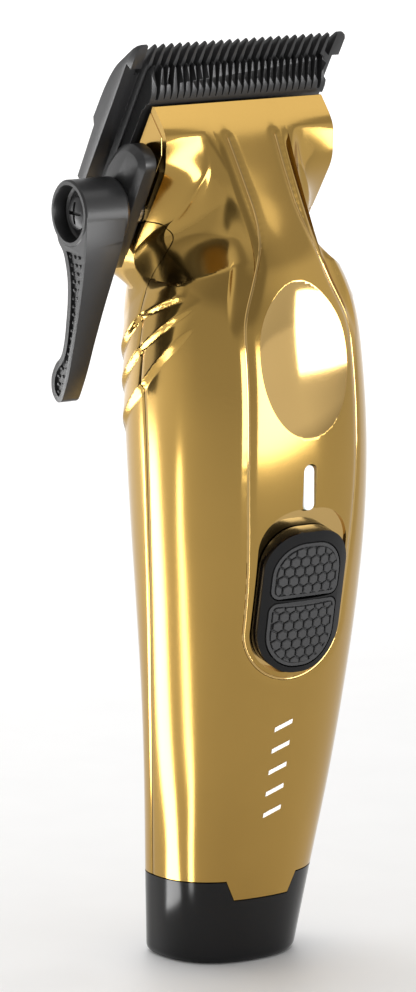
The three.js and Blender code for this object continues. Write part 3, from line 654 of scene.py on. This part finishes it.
EDGE_PATH = plate_edge_path()
BODY_LEVELS = np.concatenate(
    [
        np.arange(TAB["bottom"] + CAP_GAP, 106, 0.75),
        np.arange(106, 136, 0.3),
        np.arange(136, FOLD - 0.1, 0.4),
        [FOLD, 161.4, 162.6, 164.2, HEAD_TOP],
    ]
)


def handle_hollow():
    u = np.linspace(0, 3, 49)
    levels = [10, *np.linspace(24, 126, 14)]
    return loft("hollow", section_stack(levels, lambda z: zip(*handle_half(z, u, WALL))), GOLD)


def head_hollow():
    floor = 134.5

    def half(z):
        opened = z > floor
        back = NECK_BACK if opened else 9.5
        x, y = neck_half(z, np.linspace(1, 2, 13))
        x = np.minimum(x - 0.8 * WALL, 20 if opened else 13.5)
        y = np.minimum(y + 0.65 * WALL, back - 0.7)
        inner = list(zip(x, y))
        return [(0, float(neck_front(z)) + WALL + 0.2), *inner, (inner[-1][0], back), (0, back)]

    levels = [122, 129, floor - 0.1, floor + 0.1, 139, 144, 150, 156, 160.6]
    return loft("head_hollow", section_stack(levels, half), GOLD)


def behind_seam(shift):
    """Outline of [y, z] behind the seam, which loops forward on the neck, below the head."""
    low = [(float(seam_at(z)), z) for z in np.arange(8, 128.1, 2)]
    bend = [(-3.5, 131), (-3.4, 134.5), (-5.3, 138.5), (-5.6, 141.3), (-4.2, 143.4), (-1.6, SEAM_TOP)]
    loop = bezier_path([low[-1], *bend])
    curve = low + loop[1:] + [(24, SEAM_TOP)]
    shifted = [(y + shift, z - shift if z > SEAM_TOP - 0.7 else z) for y, z in curve]
    return shifted + [(40, SEAM_TOP - shift), (40, 8)]


def bezier_path(knots, steps=6):
    """A smooth path through the knots."""
    knots = np.asarray(knots, float)
    slopes = np.gradient(knots, axis=0)
    path = [tuple(knots[0])]
    for i in range(len(knots) - 1):
        for t in np.linspace(0, 1, steps + 1)[1:]:
            p = (
                knots[i] * (2 * t**3 - 3 * t**2 + 1)
                + knots[i + 1] * (3 * t**2 - 2 * t**3)
                + slopes[i] * (t**3 - 2 * t**2 + t)
                + slopes[i + 1] * (t**3 - t**2)
            )
            path.append(tuple(float(c) for c in p))
    return path


def tab_outline():
    return [
        (-TAB["half"], TAB["bottom"]),
        (TAB["half"], TAB["bottom"]),
        (TAB["top_half"], CAP_TOP + 1),
        (-TAB["top_half"], CAP_TOP + 1),
    ]


def dish_solid(grow=0.0, steps=160, rings=80):
    """The ellipsoid that scoops out the thumb dish."""
    points = []
    for i in range(1, rings):
        phi = math.pi * i / rings
        for k in range(steps):
            theta = 2 * math.pi * k / steps
            points.append(
                (
                    (DISH["half"] + grow) * math.sin(phi) * math.cos(theta),
                    (DISH["depth"] + grow) * math.sin(phi) * math.sin(theta),
                    (DISH["height"] + grow) * math.cos(phi),
                )
            )
    last = (rings - 2) * steps
    faces = band_faces(rings - 1, steps) + [tuple(range(steps)), tuple(range(last, last + steps))]
    tilt = Matrix.Rotation(math.radians(DISH["tilt"]), 4, "X")
    place = Matrix.Translation((0, DISH["y"], DISH["z"])) @ tilt
    thing = new_object("dish", transformed(points, place), faces, GOLD_CUT)
    outward(thing)
    return thing


def recess_cutter():
    outline = rounded_outline(
        RECESS["width"], RECESS["height"], RECESS["bottom"], RECESS["top"], 0, RECESS["lift"], steps=24
    )
    return prism("recess", outline, -8, RECESS_DEPTH, SWITCH @ FRONT, GOLD_CUT)


def lens_cutter():
    low, high = box_mm("indicator_lens")
    grow = 0.3
    width, height = high[0] - low[0] + 2 * grow, high[2] - low[2] + 2 * grow
    corner = width / 2 - 0.01
    outline = rounded_outline(width, height, corner, corner, 0, (low[2] + high[2]) / 2, steps=12)
    return prism("lens_slot", outline, -40, -20, FRONT, GOLD_CUT)


def side_groove(side):
    """Fine line that sets off the raised edge band of the head's side panel."""
    x = side * HEAD_HALF
    line = [(-3.2, 165.6), (-7.7, 160.6), (-7.7, 157.0), (0.2, 143.9), (5.6, 135.6)]
    return tube("side_groove", [(x, y, z) for y, z in line], 0.22, 8, GOLD_CUT)


def make_housings():
    grid, u = outer_grid(BODY_LEVELS)
    shell = loft("front_shell", detail(grid, u), GOLD)
    below = block("below", (-40, 40), (-40, 40), (0, CAP_TOP + CAP_GAP), PLAN, GOLD)
    tab = prism("tab", tab_outline(), -40, -6, Matrix.Translation((0, 0, CAP_GAP)) @ FRONT, GOLD)
    combine(below, tab, "DIFFERENCE")
    yoke_room = block("yoke_room", (-11.4, 11.4), (-8, 20), (-34, -14.2), BLADE, GOLD)
    cam_hole = turned("cam_hole", [(-30, 3.2), (-14, 3.2)], (0, PIVOT[1], PIVOT[2]), "x", 40, GOLD)
    back_plane = block("back_plane", (-40, 40), (HEAD_BACK, 60), (-90, 60), BLADE, GOLD)
    hollow = combine(handle_hollow(), head_hollow(), "UNION")
    carve(hollow, dish_solid(WALL - 0.3, 48, 24))
    carve(shell, back_plane, hollow, below, cam_hole, yoke_room)
    rear = linked(shell.copy())
    rear.data = shell.data.copy()
    rear.name = "rear_shell"
    rear.data.name = "rear_shell"
    combine(rear, prism("rear_region", behind_seam(SEAM_GAP / 2), -40, 40, SIDE, GOLD), "INTERSECT")
    stem_slot = block("stem_slot", (-3.1, 3.1), (-8, 12), (-3.5, 6.5), SWITCH, GOLD_CUT)
    carve(
        shell,
        prism("rear_region", behind_seam(-SEAM_GAP / 2), -40, 40, SIDE, GOLD),
        tube("edge_groove", EDGE_PATH, 0.38, 12, GOLD_CUT),
        dish_solid(),
        recess_cutter(),
        stem_slot,
        lens_cutter(),
        side_groove(-1),
        side_groove(1),
    )
    for thing, node_name in ((shell, "front_housing"), (rear, "rear_housing")):
        shade(thing, 32)
        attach(thing, "housing")
        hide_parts(node_name)


# ------------------------------------------------------------------ base cap


def make_base():
    u = np.linspace(0, 3, 121)
    edge = [(0.0, 1.25), (0.08, 0.9), (0.25, 0.6), (0.5, 0.34), (0.85, 0.13), (1.25, 0.03), (1.7, 0.0)]
    insets = dict(edge)
    levels = [height for height, _ in edge] + list(np.linspace(2.6, CAP_TOP, 22))
    outer = section_stack(levels, lambda z: zip(*handle_half(z, u, insets.get(z, 0.0))))
    base = loft("base_shell", outer, BLACK_GLOSS)
    inner = section_stack([2.2, 6, 9.5, CAP_TOP + 2], lambda z: zip(*handle_half(z, u, WALL)))
    carve(base, loft("base_hollow", inner, BLACK_SATIN))
    carve(base, prism("notch", tab_outline(), -40, -6, FRONT, BLACK_SATIN))
    port_low, port_high = box_mm("charging_socket")
    port_y = (port_low[1] + port_high[1]) / 2
    port = rounded_outline(9.6, 3.9, 1.94, 1.94, 0, port_y, steps=10)
    holes = [prism("port", port, -1, 4, PLAN, BLACK_SATIN)]
    for side in ("left", "right"):
        contact = middle_mm(f"dock_contact_{side}")
        screw = middle_mm(f"base_screw_{side}")
        hole = [(-1, 1.9), (4, 1.9)]
        holes.append(turned("hole", hole, (contact[0], contact[1], 0), "z", 32, BLACK_SATIN))
        well = [(-1, 2.5), (1.3, 2.5), (1.3, 1.5), (4, 1.5)]
        holes.append(turned("well", well, (screw[0], screw[1], 0), "z", 32, BLACK_SATIN))
    carve(base, *holes)
    shade(base, 32)
    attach(base, "housing")
    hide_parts("base_cap")


# ------------------------------------------------------------------ blades, in the blade's frame


def comb_outline(half, low, root, tip, teeth, root_width, tip_width, end_tooth):
    """A plate of [x, z] with teeth that narrow to their tips, between two wide end teeth."""
    inner = half - end_tooth
    pitch = 2 * inner / (teeth + 1)
    outline = [(half, low), (half, tip - 1.2), (half - 0.35, tip - 0.35), (half - 1.0, tip), (inner, tip)]
    for i in range(1, teeth + 1):
        x = inner - pitch * i
        gap = x + pitch - root_width / 2
        outline.append((inner - 0.25, root) if i == 1 else (gap, root))
        outline.append((x + root_width / 2, root))
        outline += [(x + tip_width / 2, tip - 0.35), (x + tip_width / 4, tip - 0.08)]
        outline += [(x - tip_width / 4, tip - 0.08), (x - tip_width / 2, tip - 0.35)]
    outline += [(-inner + pitch - root_width / 2, root), (-inner + 0.25, root)]
    outline += [(-inner, tip), (-half + 1.0, tip), (-half + 0.35, tip - 0.35)]
    return outline + [(-half, tip - 1.2), (-half, low)]


def make_fixed_blade():
    comb = comb_outline(23.4, -34, -8, 0, 22, 1.2, 0.42, 2.2)
    skin = bezier_path([(0.55, 0.3), (2.7, -4.0), (4.6, -8.3), (5.5, -13.6), (5.75, -20.9)], 8)
    profile = [(0, 0.3), *skin, (4.75, -22.1), (4.2, -35), (0, -35)]
    blade = prism("comb_blade", comb, -1, 7, BLADE @ FRONT, BLACK_STEEL)
    combine(blade, prism("skin", profile, -30, 30, BLADE @ SIDE, BLACK_STEEL), "INTERSECT")
    for side in (-1, 1):
        x = sorted((side * 19.9, side * 26))
        carve(blade, block("rabbet", x, (-1, 1.7), (-40, -5.2), BLADE, BLACK_STEEL))
        screw = [(-1, 2.0), (2.6, 2.0), (2.6, 3.6), (8, 3.6)]
        hole = turned("hole", screw, (10 * side, 0, -29.8), "y", 40, BLACK_STEEL)
        hole.data.transform(metres(BLADE))
        carve(blade, hole)
    bevel(blade, 0.12, 2, 30)
    shade(blade, 30)
    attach(blade, "blade_carrier")
    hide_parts("fixed_blade")


def metres(matrix):
    """The same placement for a mesh that is already in metres."""
    placed = matrix.copy()
    placed.translation *= MM
    return placed


def make_cutter():
    comb = comb_outline(19.6, -24.4, -9.9, -4.3, 25, 1.28, 0.36, 0.9)
    profile = [
        (-0.3, -3.9), (-0.3, -25), (-2.6, -25), (-2.6, -12.9), (-3.1, -12.5), (-3.1, -11.3), (-3.8, -10.9),
        (-3.8, -9.4), (-3.5, -8.2), (-0.9, -3.9),
    ]
    cutter = prism("moving_blade", comb, -6, 1, BLADE @ FRONT, BLACK_STEEL)
    combine(cutter, prism("face", profile, -30, 30, BLADE @ SIDE, BLACK_STEEL), "INTERSECT")
    bevel(cutter, 0.1, 2, 30)
    shade(cutter, 30)
    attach(cutter, "cutter")
    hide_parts("cutter_blade")


# ------------------------------------------------------------------ lever bracket and lever


def make_bracket():
    outline = [(-13.7, -42), (-13.2, -19.4), *arc(-10.7, -19.2, 2.5, 180, 100, 8)]
    outline += bezier_path([(-9.6, -16.6), (-6.6, -17.6), (-3.9, -20.6), (-2.5, -25)], 6)
    outline += [(-2.4, -34), *bezier_path([(-2.6, -35.6), (-4.2, -38.4), (-7, -40)], 4)]
    plate = prism("bracket_plate", outline, -23.6, -20.3, BLADE @ SIDE, BLACK_SATIN)
    shrink(plate, -23.6, 1.3)
    foot = [(-12.6, -40), (-12.2, -20.4), (-10.4, -18.6), (-6, -20), (-4, -26), (-4, -34), (-8, -39)]
    combine(plate, prism("foot", foot, -20.5, -19.2, BLADE @ SIDE, BLACK_SATIN), "UNION")
    hole = turned("hole", [(-30, 3.2), (-10, 3.2)], (0, PIVOT[1], PIVOT[2]), "x", 40, BLACK_SATIN)
    carve(plate, hole)
    bevel(plate, 0.16, 2, 25)
    shade(plate, 28)
    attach(plate, "housing")
    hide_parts("lever_bracket")


def shrink(thing, x, amount):
    """Chamfers the face at x of a side prism by pulling its outline in by amount."""
    work = bmesh.new()
    work.from_mesh(thing.data)
    faces = [f for f in work.faces if all(abs(v.co.x / MM - x) < 0.01 for v in f.verts)]
    bmesh.ops.inset_region(work, faces=faces, thickness=amount * MM, use_even_offset=True)
    inner = [f for f in work.faces if f in faces]
    rim = {v for f in work.faces if all(abs(w.co.x / MM - x) < 0.01 for w in f.verts) for v in f.verts}
    core = {v for f in inner for v in f.verts}
    for vert in rim - core:
        vert.co.x += amount * 0.75 * MM
    work.to_mesh(thing.data)
    work.free()


ARM_OUTER = -33.5
ARM_REAR = [(6.4, 146.3), (5.7, 141.2), (3.6, 138.6), (2.3, 134.4), (2.2, 130), (2.7, 126), (3.5, 121.8)]
ARM_REAR += [(4.7, 118.9)]
ARM_BULB = [(6.6, 117.2), (8.1, 114.6), (8.0, 111.8), (6.4, 110.1), (4.9, 110.2)]
ARM_FRONT = [(3.9, 111.4), (1.9, 115.6), (0.1, 121.2), (-1.9, 128), (-3.4, 134), (-4.5, 140), (-4.9, 146.3)]
ARM_INNER = [(-29.9, 107), (-29.6, 114), (-29.3, 118), (-28.8, 123), (-27.9, 129.5), (-26.4, 137)]
ARM_INNER += [(-25.3, 142), (-24.9, 146.3), (-24.9, 152)]


def arm_outline(inset=0.0):
    knots = ARM_REAR + ARM_BULB + ARM_FRONT
    path = np.array(bezier_path(knots, 5))
    if not inset:
        return [tuple(p) for p in path]
    ahead = np.gradient(path, axis=0)
    ahead /= np.linalg.norm(ahead, axis=1, keepdims=True)
    side = np.column_stack([ahead[:, 1], -ahead[:, 0]])
    middle = path.mean(axis=0)
    if ((path - middle) * side).sum() > 0:
        side = -side
    return [tuple(p) for p in path + side * inset]


def make_lever():
    y, z = PIVOT[1], PIVOT[2]
    inner = bezier_path(ARM_INNER, 6)
    arm = prism("lever_arm", arm_outline(), ARM_OUTER, -24, SIDE, BLACK_SATIN)
    width = prism("arm_width", [(-40, 152), (-40, 107), *inner], -30, 30, FRONT, BLACK_SATIN)
    combine(arm, width, "INTERSECT")
    bevel(arm, 0.55, 3, 40)
    floor_outline = [p for p in arm_outline(1.15) if p[1] < 139.4]
    recess = prism("arm_recess", floor_outline, -40, ARM_OUTER + 0.55, SIDE, BLACK_SATIN)
    carve(arm, recess)
    hub = [(-33.7, 6.05), (-33.35, 6.4), (-24.5, 6.4), (-23.9, 6.0)]
    solid = turned("lever_hub", hub, (0, y, z), "x", 96, BLACK_SATIN)
    combine(arm, solid, "UNION")
    cup = [(-36, 5.5), (-33.9, 5.5), (-33.2, 5.2), (-31.0, 5.1), (-30.6, 4.7), (-30.6, 1.7), (-20, 1.7)]
    carve(arm, turned("cup", cup, (0, y, z), "x", 72, BLACK_SATIN))
    combine(arm, dots(), "UNION")
    shade(arm, 30)
    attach(arm, "lever")
    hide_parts("taper_lever")


def dots():
    """Raised dots on the lever's outer face, in as many columns as its width holds."""
    rows = []
    for i, z in enumerate(np.arange(138.2, 111.5, -1.55)):
        left, right = arm_span(z)
        width = right - left - 3.6
        count = int(np.clip(round(width / 1.5) + 1, 1, 4))
        shift = 0.35 if i % 2 else 0.0
        for k in range(count):
            spread = (k - (count - 1) / 2) * 1.5
            rows.append(((left + right) / 2 + spread + shift, z))
    points, faces = [], []
    for y, z in rows:
        base = len(points)
        for height, radius in ((-0.3, 0.42), (0.12, 0.42), (0.3, 0.26)):
            x = ARM_OUTER + 0.55 - height
            for t in np.linspace(0, 2 * math.pi, 10, endpoint=False):
                points.append((x, y + radius * math.cos(t), z + radius * math.sin(t)))
        faces += band_faces(3, 10, base)
        faces += [tuple(range(base, base + 10)), tuple(range(base + 20, base + 30))]
    thing = new_object("dots", points, faces, BLACK_SATIN)
    outward(thing)
    return thing


def arm_span(z):
    """The arm's front and rear y at height z."""
    rear = np.array(sorted(((zz, yy) for yy, zz in ARM_REAR + ARM_BULB[:3])))
    front = np.array(sorted(((zz, yy) for yy, zz in ARM_FRONT)))
    return np.interp(z, front[:, 0], front[:, 1]), np.interp(z, rear[:, 0], rear[:, 1])


def make_lever_screw():
    y, z = PIVOT[1], PIVOT[2]
    head = [(-32.5, 0.0), (-32.45, 1.2), (-32.2, 2.4), (-31.8, 3.1), (-31.4, 3.25), (-30.7, 3.25)]
    profile = head + [(-30.7, 1.4), (-20, 1.4), (-19.8, 1.1)]
    screw = turned("pivot_screw", profile, (0, y, z), "x", 64, BLACK_STEEL)
    for a, b in ((0.34, 2.1), (2.1, 0.34)):
        slot = block("slot", (-35, -31.6), (y - a, y + a), (z - b, z + b), IDENTITY, BLACK_STEEL)
        carve(screw, slot)
    bevel(screw, 0.07, 1, 40)
    shade(screw, 35)
    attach(screw, "lever")
    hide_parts("lever_screw")


# ------------------------------------------------------------------ slide switch, in its own frame

PADS = [
    {"name": "upper", "z": 6.4, "height": 11.0, "bottom": 1.8, "top": 6.4},
    {"name": "lower", "z": -6.4, "height": 13.0, "bottom": 6.9, "top": 1.8},
]
BUTTON_FRONT = -1.6
CROWN_RADIUS = 30
PAD_WIDTH = 15.0


def pad_outline(pad, grow, steps=14):
    width, height = PAD_WIDTH + grow, pad["height"] + grow
    bottom, top = pad["bottom"] + grow / 2, pad["top"] + grow / 2
    return rounded_outline(width, height, bottom, top, 0, pad["z"], steps)


def pad_prism(name, pad, grow, low, high, material):
    """The pad's outline, grown, swept between two depths behind the button's front."""
    low, high = BUTTON_FRONT + low, BUTTON_FRONT + high
    return prism(name, pad_outline(pad, grow), low, high, SWITCH @ FRONT, material)


def crown():
    """A broad cylinder whose side curves the switch's face from left to right."""
    profile = [(-30, CROWN_RADIUS), (30, CROWN_RADIUS)]
    thing = turned("crown", profile, (0, 0, 0), "z", 720, BLACK_GLOSS)
    thing.data.transform(metres(SWITCH @ Matrix.Translation((0, BUTTON_FRONT + CROWN_RADIUS, 0))))
    return thing


def make_button():
    outline = rounded_outline(18.4, 28.4, 8.6, 7.6, steps=20)
    button = prism("switch_cap", outline, BUTTON_FRONT - 1, RECESS_DEPTH - 0.3, SWITCH @ FRONT, BLACK_GLOSS)
    combine(button, crown(), "INTERSECT")
    bevel(button, 0.8, 4, 50)
    stem = block("stem", (-2.6, 2.6), (RECESS_DEPTH - 0.6, 4), (-3, 3), SWITCH, BLACK_GLOSS)
    combine(button, stem, "UNION")
    slot = block("stem_slot", (-3.6, 3.6), (RECESS_DEPTH + 0.1, 5), (-1.5, 1.5), SWITCH, BLACK_GLOSS)
    carve(button, slot)
    for pad in PADS:
        carve(button, pad_prism("pocket", pad, 0.5, -4.4, 1.9, BLACK_GLOSS))
    shade(button, 30)
    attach(button, "power_switch")
    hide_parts("switch_button")


def hexagons(pad):
    """Raised hexagon tiles over a pad's area, with narrow channels between them."""
    pitch, gap = 2.15, 0.3
    points, faces = [], []
    for row in range(-9, 10):
        for column in range(-6, 7):
            x = column * pitch + (pitch / 2 if row % 2 else 0)
            z = pad["z"] + row * pitch * math.sqrt(3) / 2
            base = len(points)
            for y, radius in ((0.6, 1), (-0.12, 1), (-0.28, 0.84)):
                size = (pitch - gap) / math.sqrt(3) * radius
                for t in range(6):
                    turn = math.pi / 6 + math.pi / 3 * t
                    points.append((x + size * math.cos(turn), y + BUTTON_FRONT, z + size * math.sin(turn)))
            faces += band_faces(3, 6, base)
            faces += [tuple(range(base, base + 6)), tuple(range(base + 12, base + 18))]
    thing = new_object("tiles", transformed(points, SWITCH), faces, RUBBER)
    outward(thing)
    return thing


def bend_to_crown(thing):
    """Lets a flat pad follow the switch's crowned face."""
    forward = metres(SWITCH)
    inverse = forward.inverted()
    for vertex in thing.data.vertices:
        p = inverse @ vertex.co
        p.y += (CROWN_RADIUS - math.sqrt(CROWN_RADIUS**2 - (p.x / MM) ** 2)) * MM
        vertex.co = forward @ p


def make_pads():
    for pad in PADS:
        base = pad_prism(f"{pad['name']}_pad", pad, -0.1, 0.35, 1.6, RUBBER)
        rim = pad_prism("rim", pad, -0.1, -0.02, 1.0, RUBBER)
        carve(rim, pad_prism("inside", pad, -1.3, -1, 2, RUBBER))
        combine(base, rim, "UNION")
        tiles = hexagons(pad)
        area = pad_prism("area", pad, -1.7, -2, 1, RUBBER)
        combine(tiles, area, "INTERSECT")
        combine(base, tiles, "UNION")
        bend_to_crown(base)
        shade(base, 25)
        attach(base, "power_switch")
        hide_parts(f"{pad['name']}_grip_pad")


# ------------------------------------------------------------------ lens and mark


def make_lens():
    low, high = box_mm("indicator_lens")
    width, height = high[0] - low[0], high[2] - low[2]
    corner = width / 2 - 0.02
    outline = rounded_outline(width, height, corner, corner, 0, (low[2] + high[2]) / 2, steps=14)
    # The window's material has a painted glow: a faint white emission.
    lens = prism("indicator_window", outline, low[1], high[1], FRONT, LENS_PAINTED_GLOW)
    bevel(lens, 0.3, 3, 50)
    shade(lens, 40)
    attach(lens, "housing")
    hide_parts("indicator_lens")


def make_mark():
    """A plain printed mark: a column of slanted bars that follow the front's curve."""
    points, faces = [], []
    for i in range(5):
        z0 = 30.5 + 4.4 * i
        base = len(points)
        for lift in (0.12, -0.03):
            for a, b in ((-1.9, -0.8), (1.9, 0.6), (1.9, 1.5), (-1.9, 0.1)):
                x, z = a, z0 + b
                points.append((x, front_surface(x, z) - lift, z))
        faces += [(base + 3, base + 2, base + 1, base), (base + 4, base + 5, base + 6, base + 7)]
        for k in range(4):
            n = (k + 1) % 4
            faces.append((base + k, base + n, base + 4 + n, base + 4 + k))
    mark = new_object("printed_mark", points, faces, INK)
    outward(mark)
    shade(mark, 30)
    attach(mark, "housing")


# ------------------------------------------------------------------ stage, light and camera

LIGHT_GROUPS = {}  # what a lamp lights: the floor only (True) or all but the floor (False)


def make_stage():
    """The pale floor, and the light links that keep the studio's lights on the object or on the floor."""
    bpy.ops.mesh.primitive_plane_add(size=8)
    floor = bpy.context.object
    floor.name = "floor"
    floor.data.materials.append(surface("pale_floor", (0.86, 0.86, 0.86), (0.5, 0.6), shift=0.01, bump=0.0))
    for floor_only in (True, False):
        group = bpy.data.collections.new(f"lit_{floor_only}")
        group.objects.link(floor)
        group.collection_objects[0].light_linking.link_state = "INCLUDE" if floor_only else "EXCLUDE"
        LIGHT_GROUPS[floor_only] = group


def soft_box(name, centre, across, up, size, radiance, floor=False):
    """A glowing rectangle that the camera doesn't see, facing along the cross product of across and up."""
    across = Vector(across).normalized()
    facing = across.cross(Vector(up)).normalized()
    lamp = bpy.data.lights.new(name, "AREA")
    lamp.shape = "RECTANGLE"
    lamp.size, lamp.size_y = size
    lamp.energy = radiance * math.pi * size[0] * size[1]
    light = linked(bpy.data.objects.new(name, lamp))
    turn = Matrix((across, (-facing).cross(across), -facing)).transposed()
    light.matrix_world = Matrix.Translation(centre) @ turn.to_4x4()
    light.visible_camera = False
    light.light_linking.receiver_collection = LIGHT_GROUPS[floor]


RIBBON_HEIGHT = 0.002
# Knots of the two ribbons: x, y and width, in metres.
LONG_LINE = [
    (-0.030, 0.000, 0.014),
    (-0.080, 0.020, 0.030),
    (-0.150, 0.115, 0.060),
    (-0.240, 0.260, 0.080),
    (-0.410, 0.560, 0.140),
]
THIN_LINE = [
    (-0.030, -0.016, 0.004),
    (-0.075, -0.036, 0.011),
    (-0.175, 0.000, 0.020),
    (-0.370, 0.120, 0.037),
    (-0.605, 0.240, 0.055),
]


def floor_ribbon(name, knots, radiance):
    """A glowing ribbon on the floor through knots of x, y and width. The flank reflects it as a line."""
    path = np.array(bezier_path(knots, 4))
    ahead = np.gradient(path[:, :2], axis=0)
    ahead /= np.linalg.norm(ahead, axis=1)[:, None]
    aside = np.column_stack([-ahead[:, 1], ahead[:, 0]]) * path[:, 2:] / 2
    left, right = path[:, :2] - aside, path[:, :2] + aside
    points = [(x, y, RIBBON_HEIGHT) for x, y in np.vstack([left, right])]
    rows = len(path)
    faces = [(k, rows + k, rows + k + 1, k + 1) for k in range(rows - 1)]
    mesh = bpy.data.meshes.new(name)
    mesh.from_pydata(points, [], faces)
    ribbon = linked(bpy.data.objects.new(name, mesh))
    glow = bpy.data.materials.new(name)
    glow.use_nodes = True
    shader = glow.node_tree.nodes["Principled BSDF"]
    shader.inputs["Emission Color"].default_value = (1, 1, 1, 1)
    shader.inputs["Emission Strength"].default_value = radiance
    mesh.materials.append(glow)
    ribbon.visible_camera = False
    ribbon.visible_diffuse = False
    ribbon.visible_shadow = False
    ribbon.light_linking.receiver_collection = LIGHT_GROUPS[False]


AZIMUTH, ELEVATION = math.radians(-33), math.radians(10.851)
TARGET = Vector((-0.002673, 0.0014, 0.089502))
DISTANCE = 1.03443
SENSOR = 36.0
FOCAL_PIXELS = 5400.0
IMAGE_HEIGHT = 992.0


def make_camera():
    data = bpy.data.cameras.new("camera")
    data.sensor_width = SENSOR
    data.lens = FOCAL_PIXELS / IMAGE_HEIGHT * SENSOR
    data.clip_end = 20
    camera = linked(bpy.data.objects.new("camera", data))
    level = math.cos(ELEVATION)
    away = Vector((math.sin(AZIMUTH) * level, -math.cos(AZIMUTH) * level, math.sin(ELEVATION)))
    camera.location = TARGET + away * DISTANCE
    camera.rotation_euler = away.to_track_quat("Z", "Y").to_euler()
    bpy.context.scene.camera = camera


def make_world():
    """A white studio that falls off to grey on the lever's side and in a ring high up."""
    world = bpy.data.worlds.new("studio")
    bpy.context.scene.world = world
    world.use_nodes = True
    tree = world.node_tree
    background = tree.nodes["Background"]
    where = node(tree, "ShaderNodeTexCoord")
    split = node(tree, "ShaderNodeSeparateXYZ")
    tree.links.new(where.outputs["Generated"], split.inputs["Vector"])
    lean = node(tree, "ShaderNodeMath", operation="MULTIPLY_ADD")
    lean.inputs[1].default_value = 0.9
    tree.links.new(split.outputs["Y"], lean.inputs[0])
    tree.links.new(split.outputs["X"], lean.inputs[2])
    depth = node(tree, "ShaderNodeMapRange")
    depth.inputs["From Min"].default_value = -0.95
    depth.inputs["From Max"].default_value = -0.15
    tree.links.new(lean.outputs["Value"], depth.inputs["Value"])
    tone = node(tree, "ShaderNodeValToRGB")
    tone.color_ramp.elements[0].color = (0.58, 0.575, 0.57, 1)
    tone.color_ramp.elements[1].color = (0.98, 0.98, 0.98, 1)
    tree.links.new(depth.outputs["Result"], tone.inputs["Fac"])
    height = node(tree, "ShaderNodeValToRGB")
    ramp = height.color_ramp
    ramp.elements[0].position, ramp.elements[0].color = 0.38, (1, 1, 1, 1)
    ramp.elements[1].position, ramp.elements[1].color = 0.90, (1, 1, 1, 1)
    for position in (0.52, 0.72):
        ramp.elements.new(position).color = (0.62, 0.61, 0.60, 1)
    tree.links.new(split.outputs["Z"], height.inputs["Fac"])
    dim = node(tree, "ShaderNodeMixRGB", blend_type="MULTIPLY", Fac=1.0)
    tree.links.new(tone.outputs["Color"], dim.inputs["Color1"])
    tree.links.new(height.outputs["Color"], dim.inputs["Color2"])
    tree.links.new(dim.outputs["Color"], background.inputs["Color"])
    background.inputs["Strength"].default_value = 1.0


def make_lights():
    """Two ribbons on the floor at the left, a card in front, a box overhead and a wash on the floor."""
    floor_ribbon("long_line", LONG_LINE, 11.0)
    floor_ribbon("thin_line", THIN_LINE, 9.0)
    soft_box("front_card", (0.075, -0.49, 0.105), (-1, 0, 0), (0, 0, 1), (0.50, 0.20), 8.0)
    soft_box("top_box", (0.52, -0.36, 1.06), (0.57, 0.82, 0), (0.67, -0.47, -0.57), (0.42, 0.32), 1.0)
    soft_box("floor_wash", (-0.1, 2.0, 0.9), (1, 0, 0), (0, -1, 0), (3.0, 2.8), 1.6, floor=True)


finish_cad_nodes()
make_housings()
make_base()
make_fixed_blade()
make_cutter()
make_bracket()
make_lever()
make_lever_screw()
make_button()
make_pads()
make_lens()
make_mark()
make_stage()
make_world()
make_lights()
make_camera()
bpy.context.scene.view_settings.view_transform = "Standard"
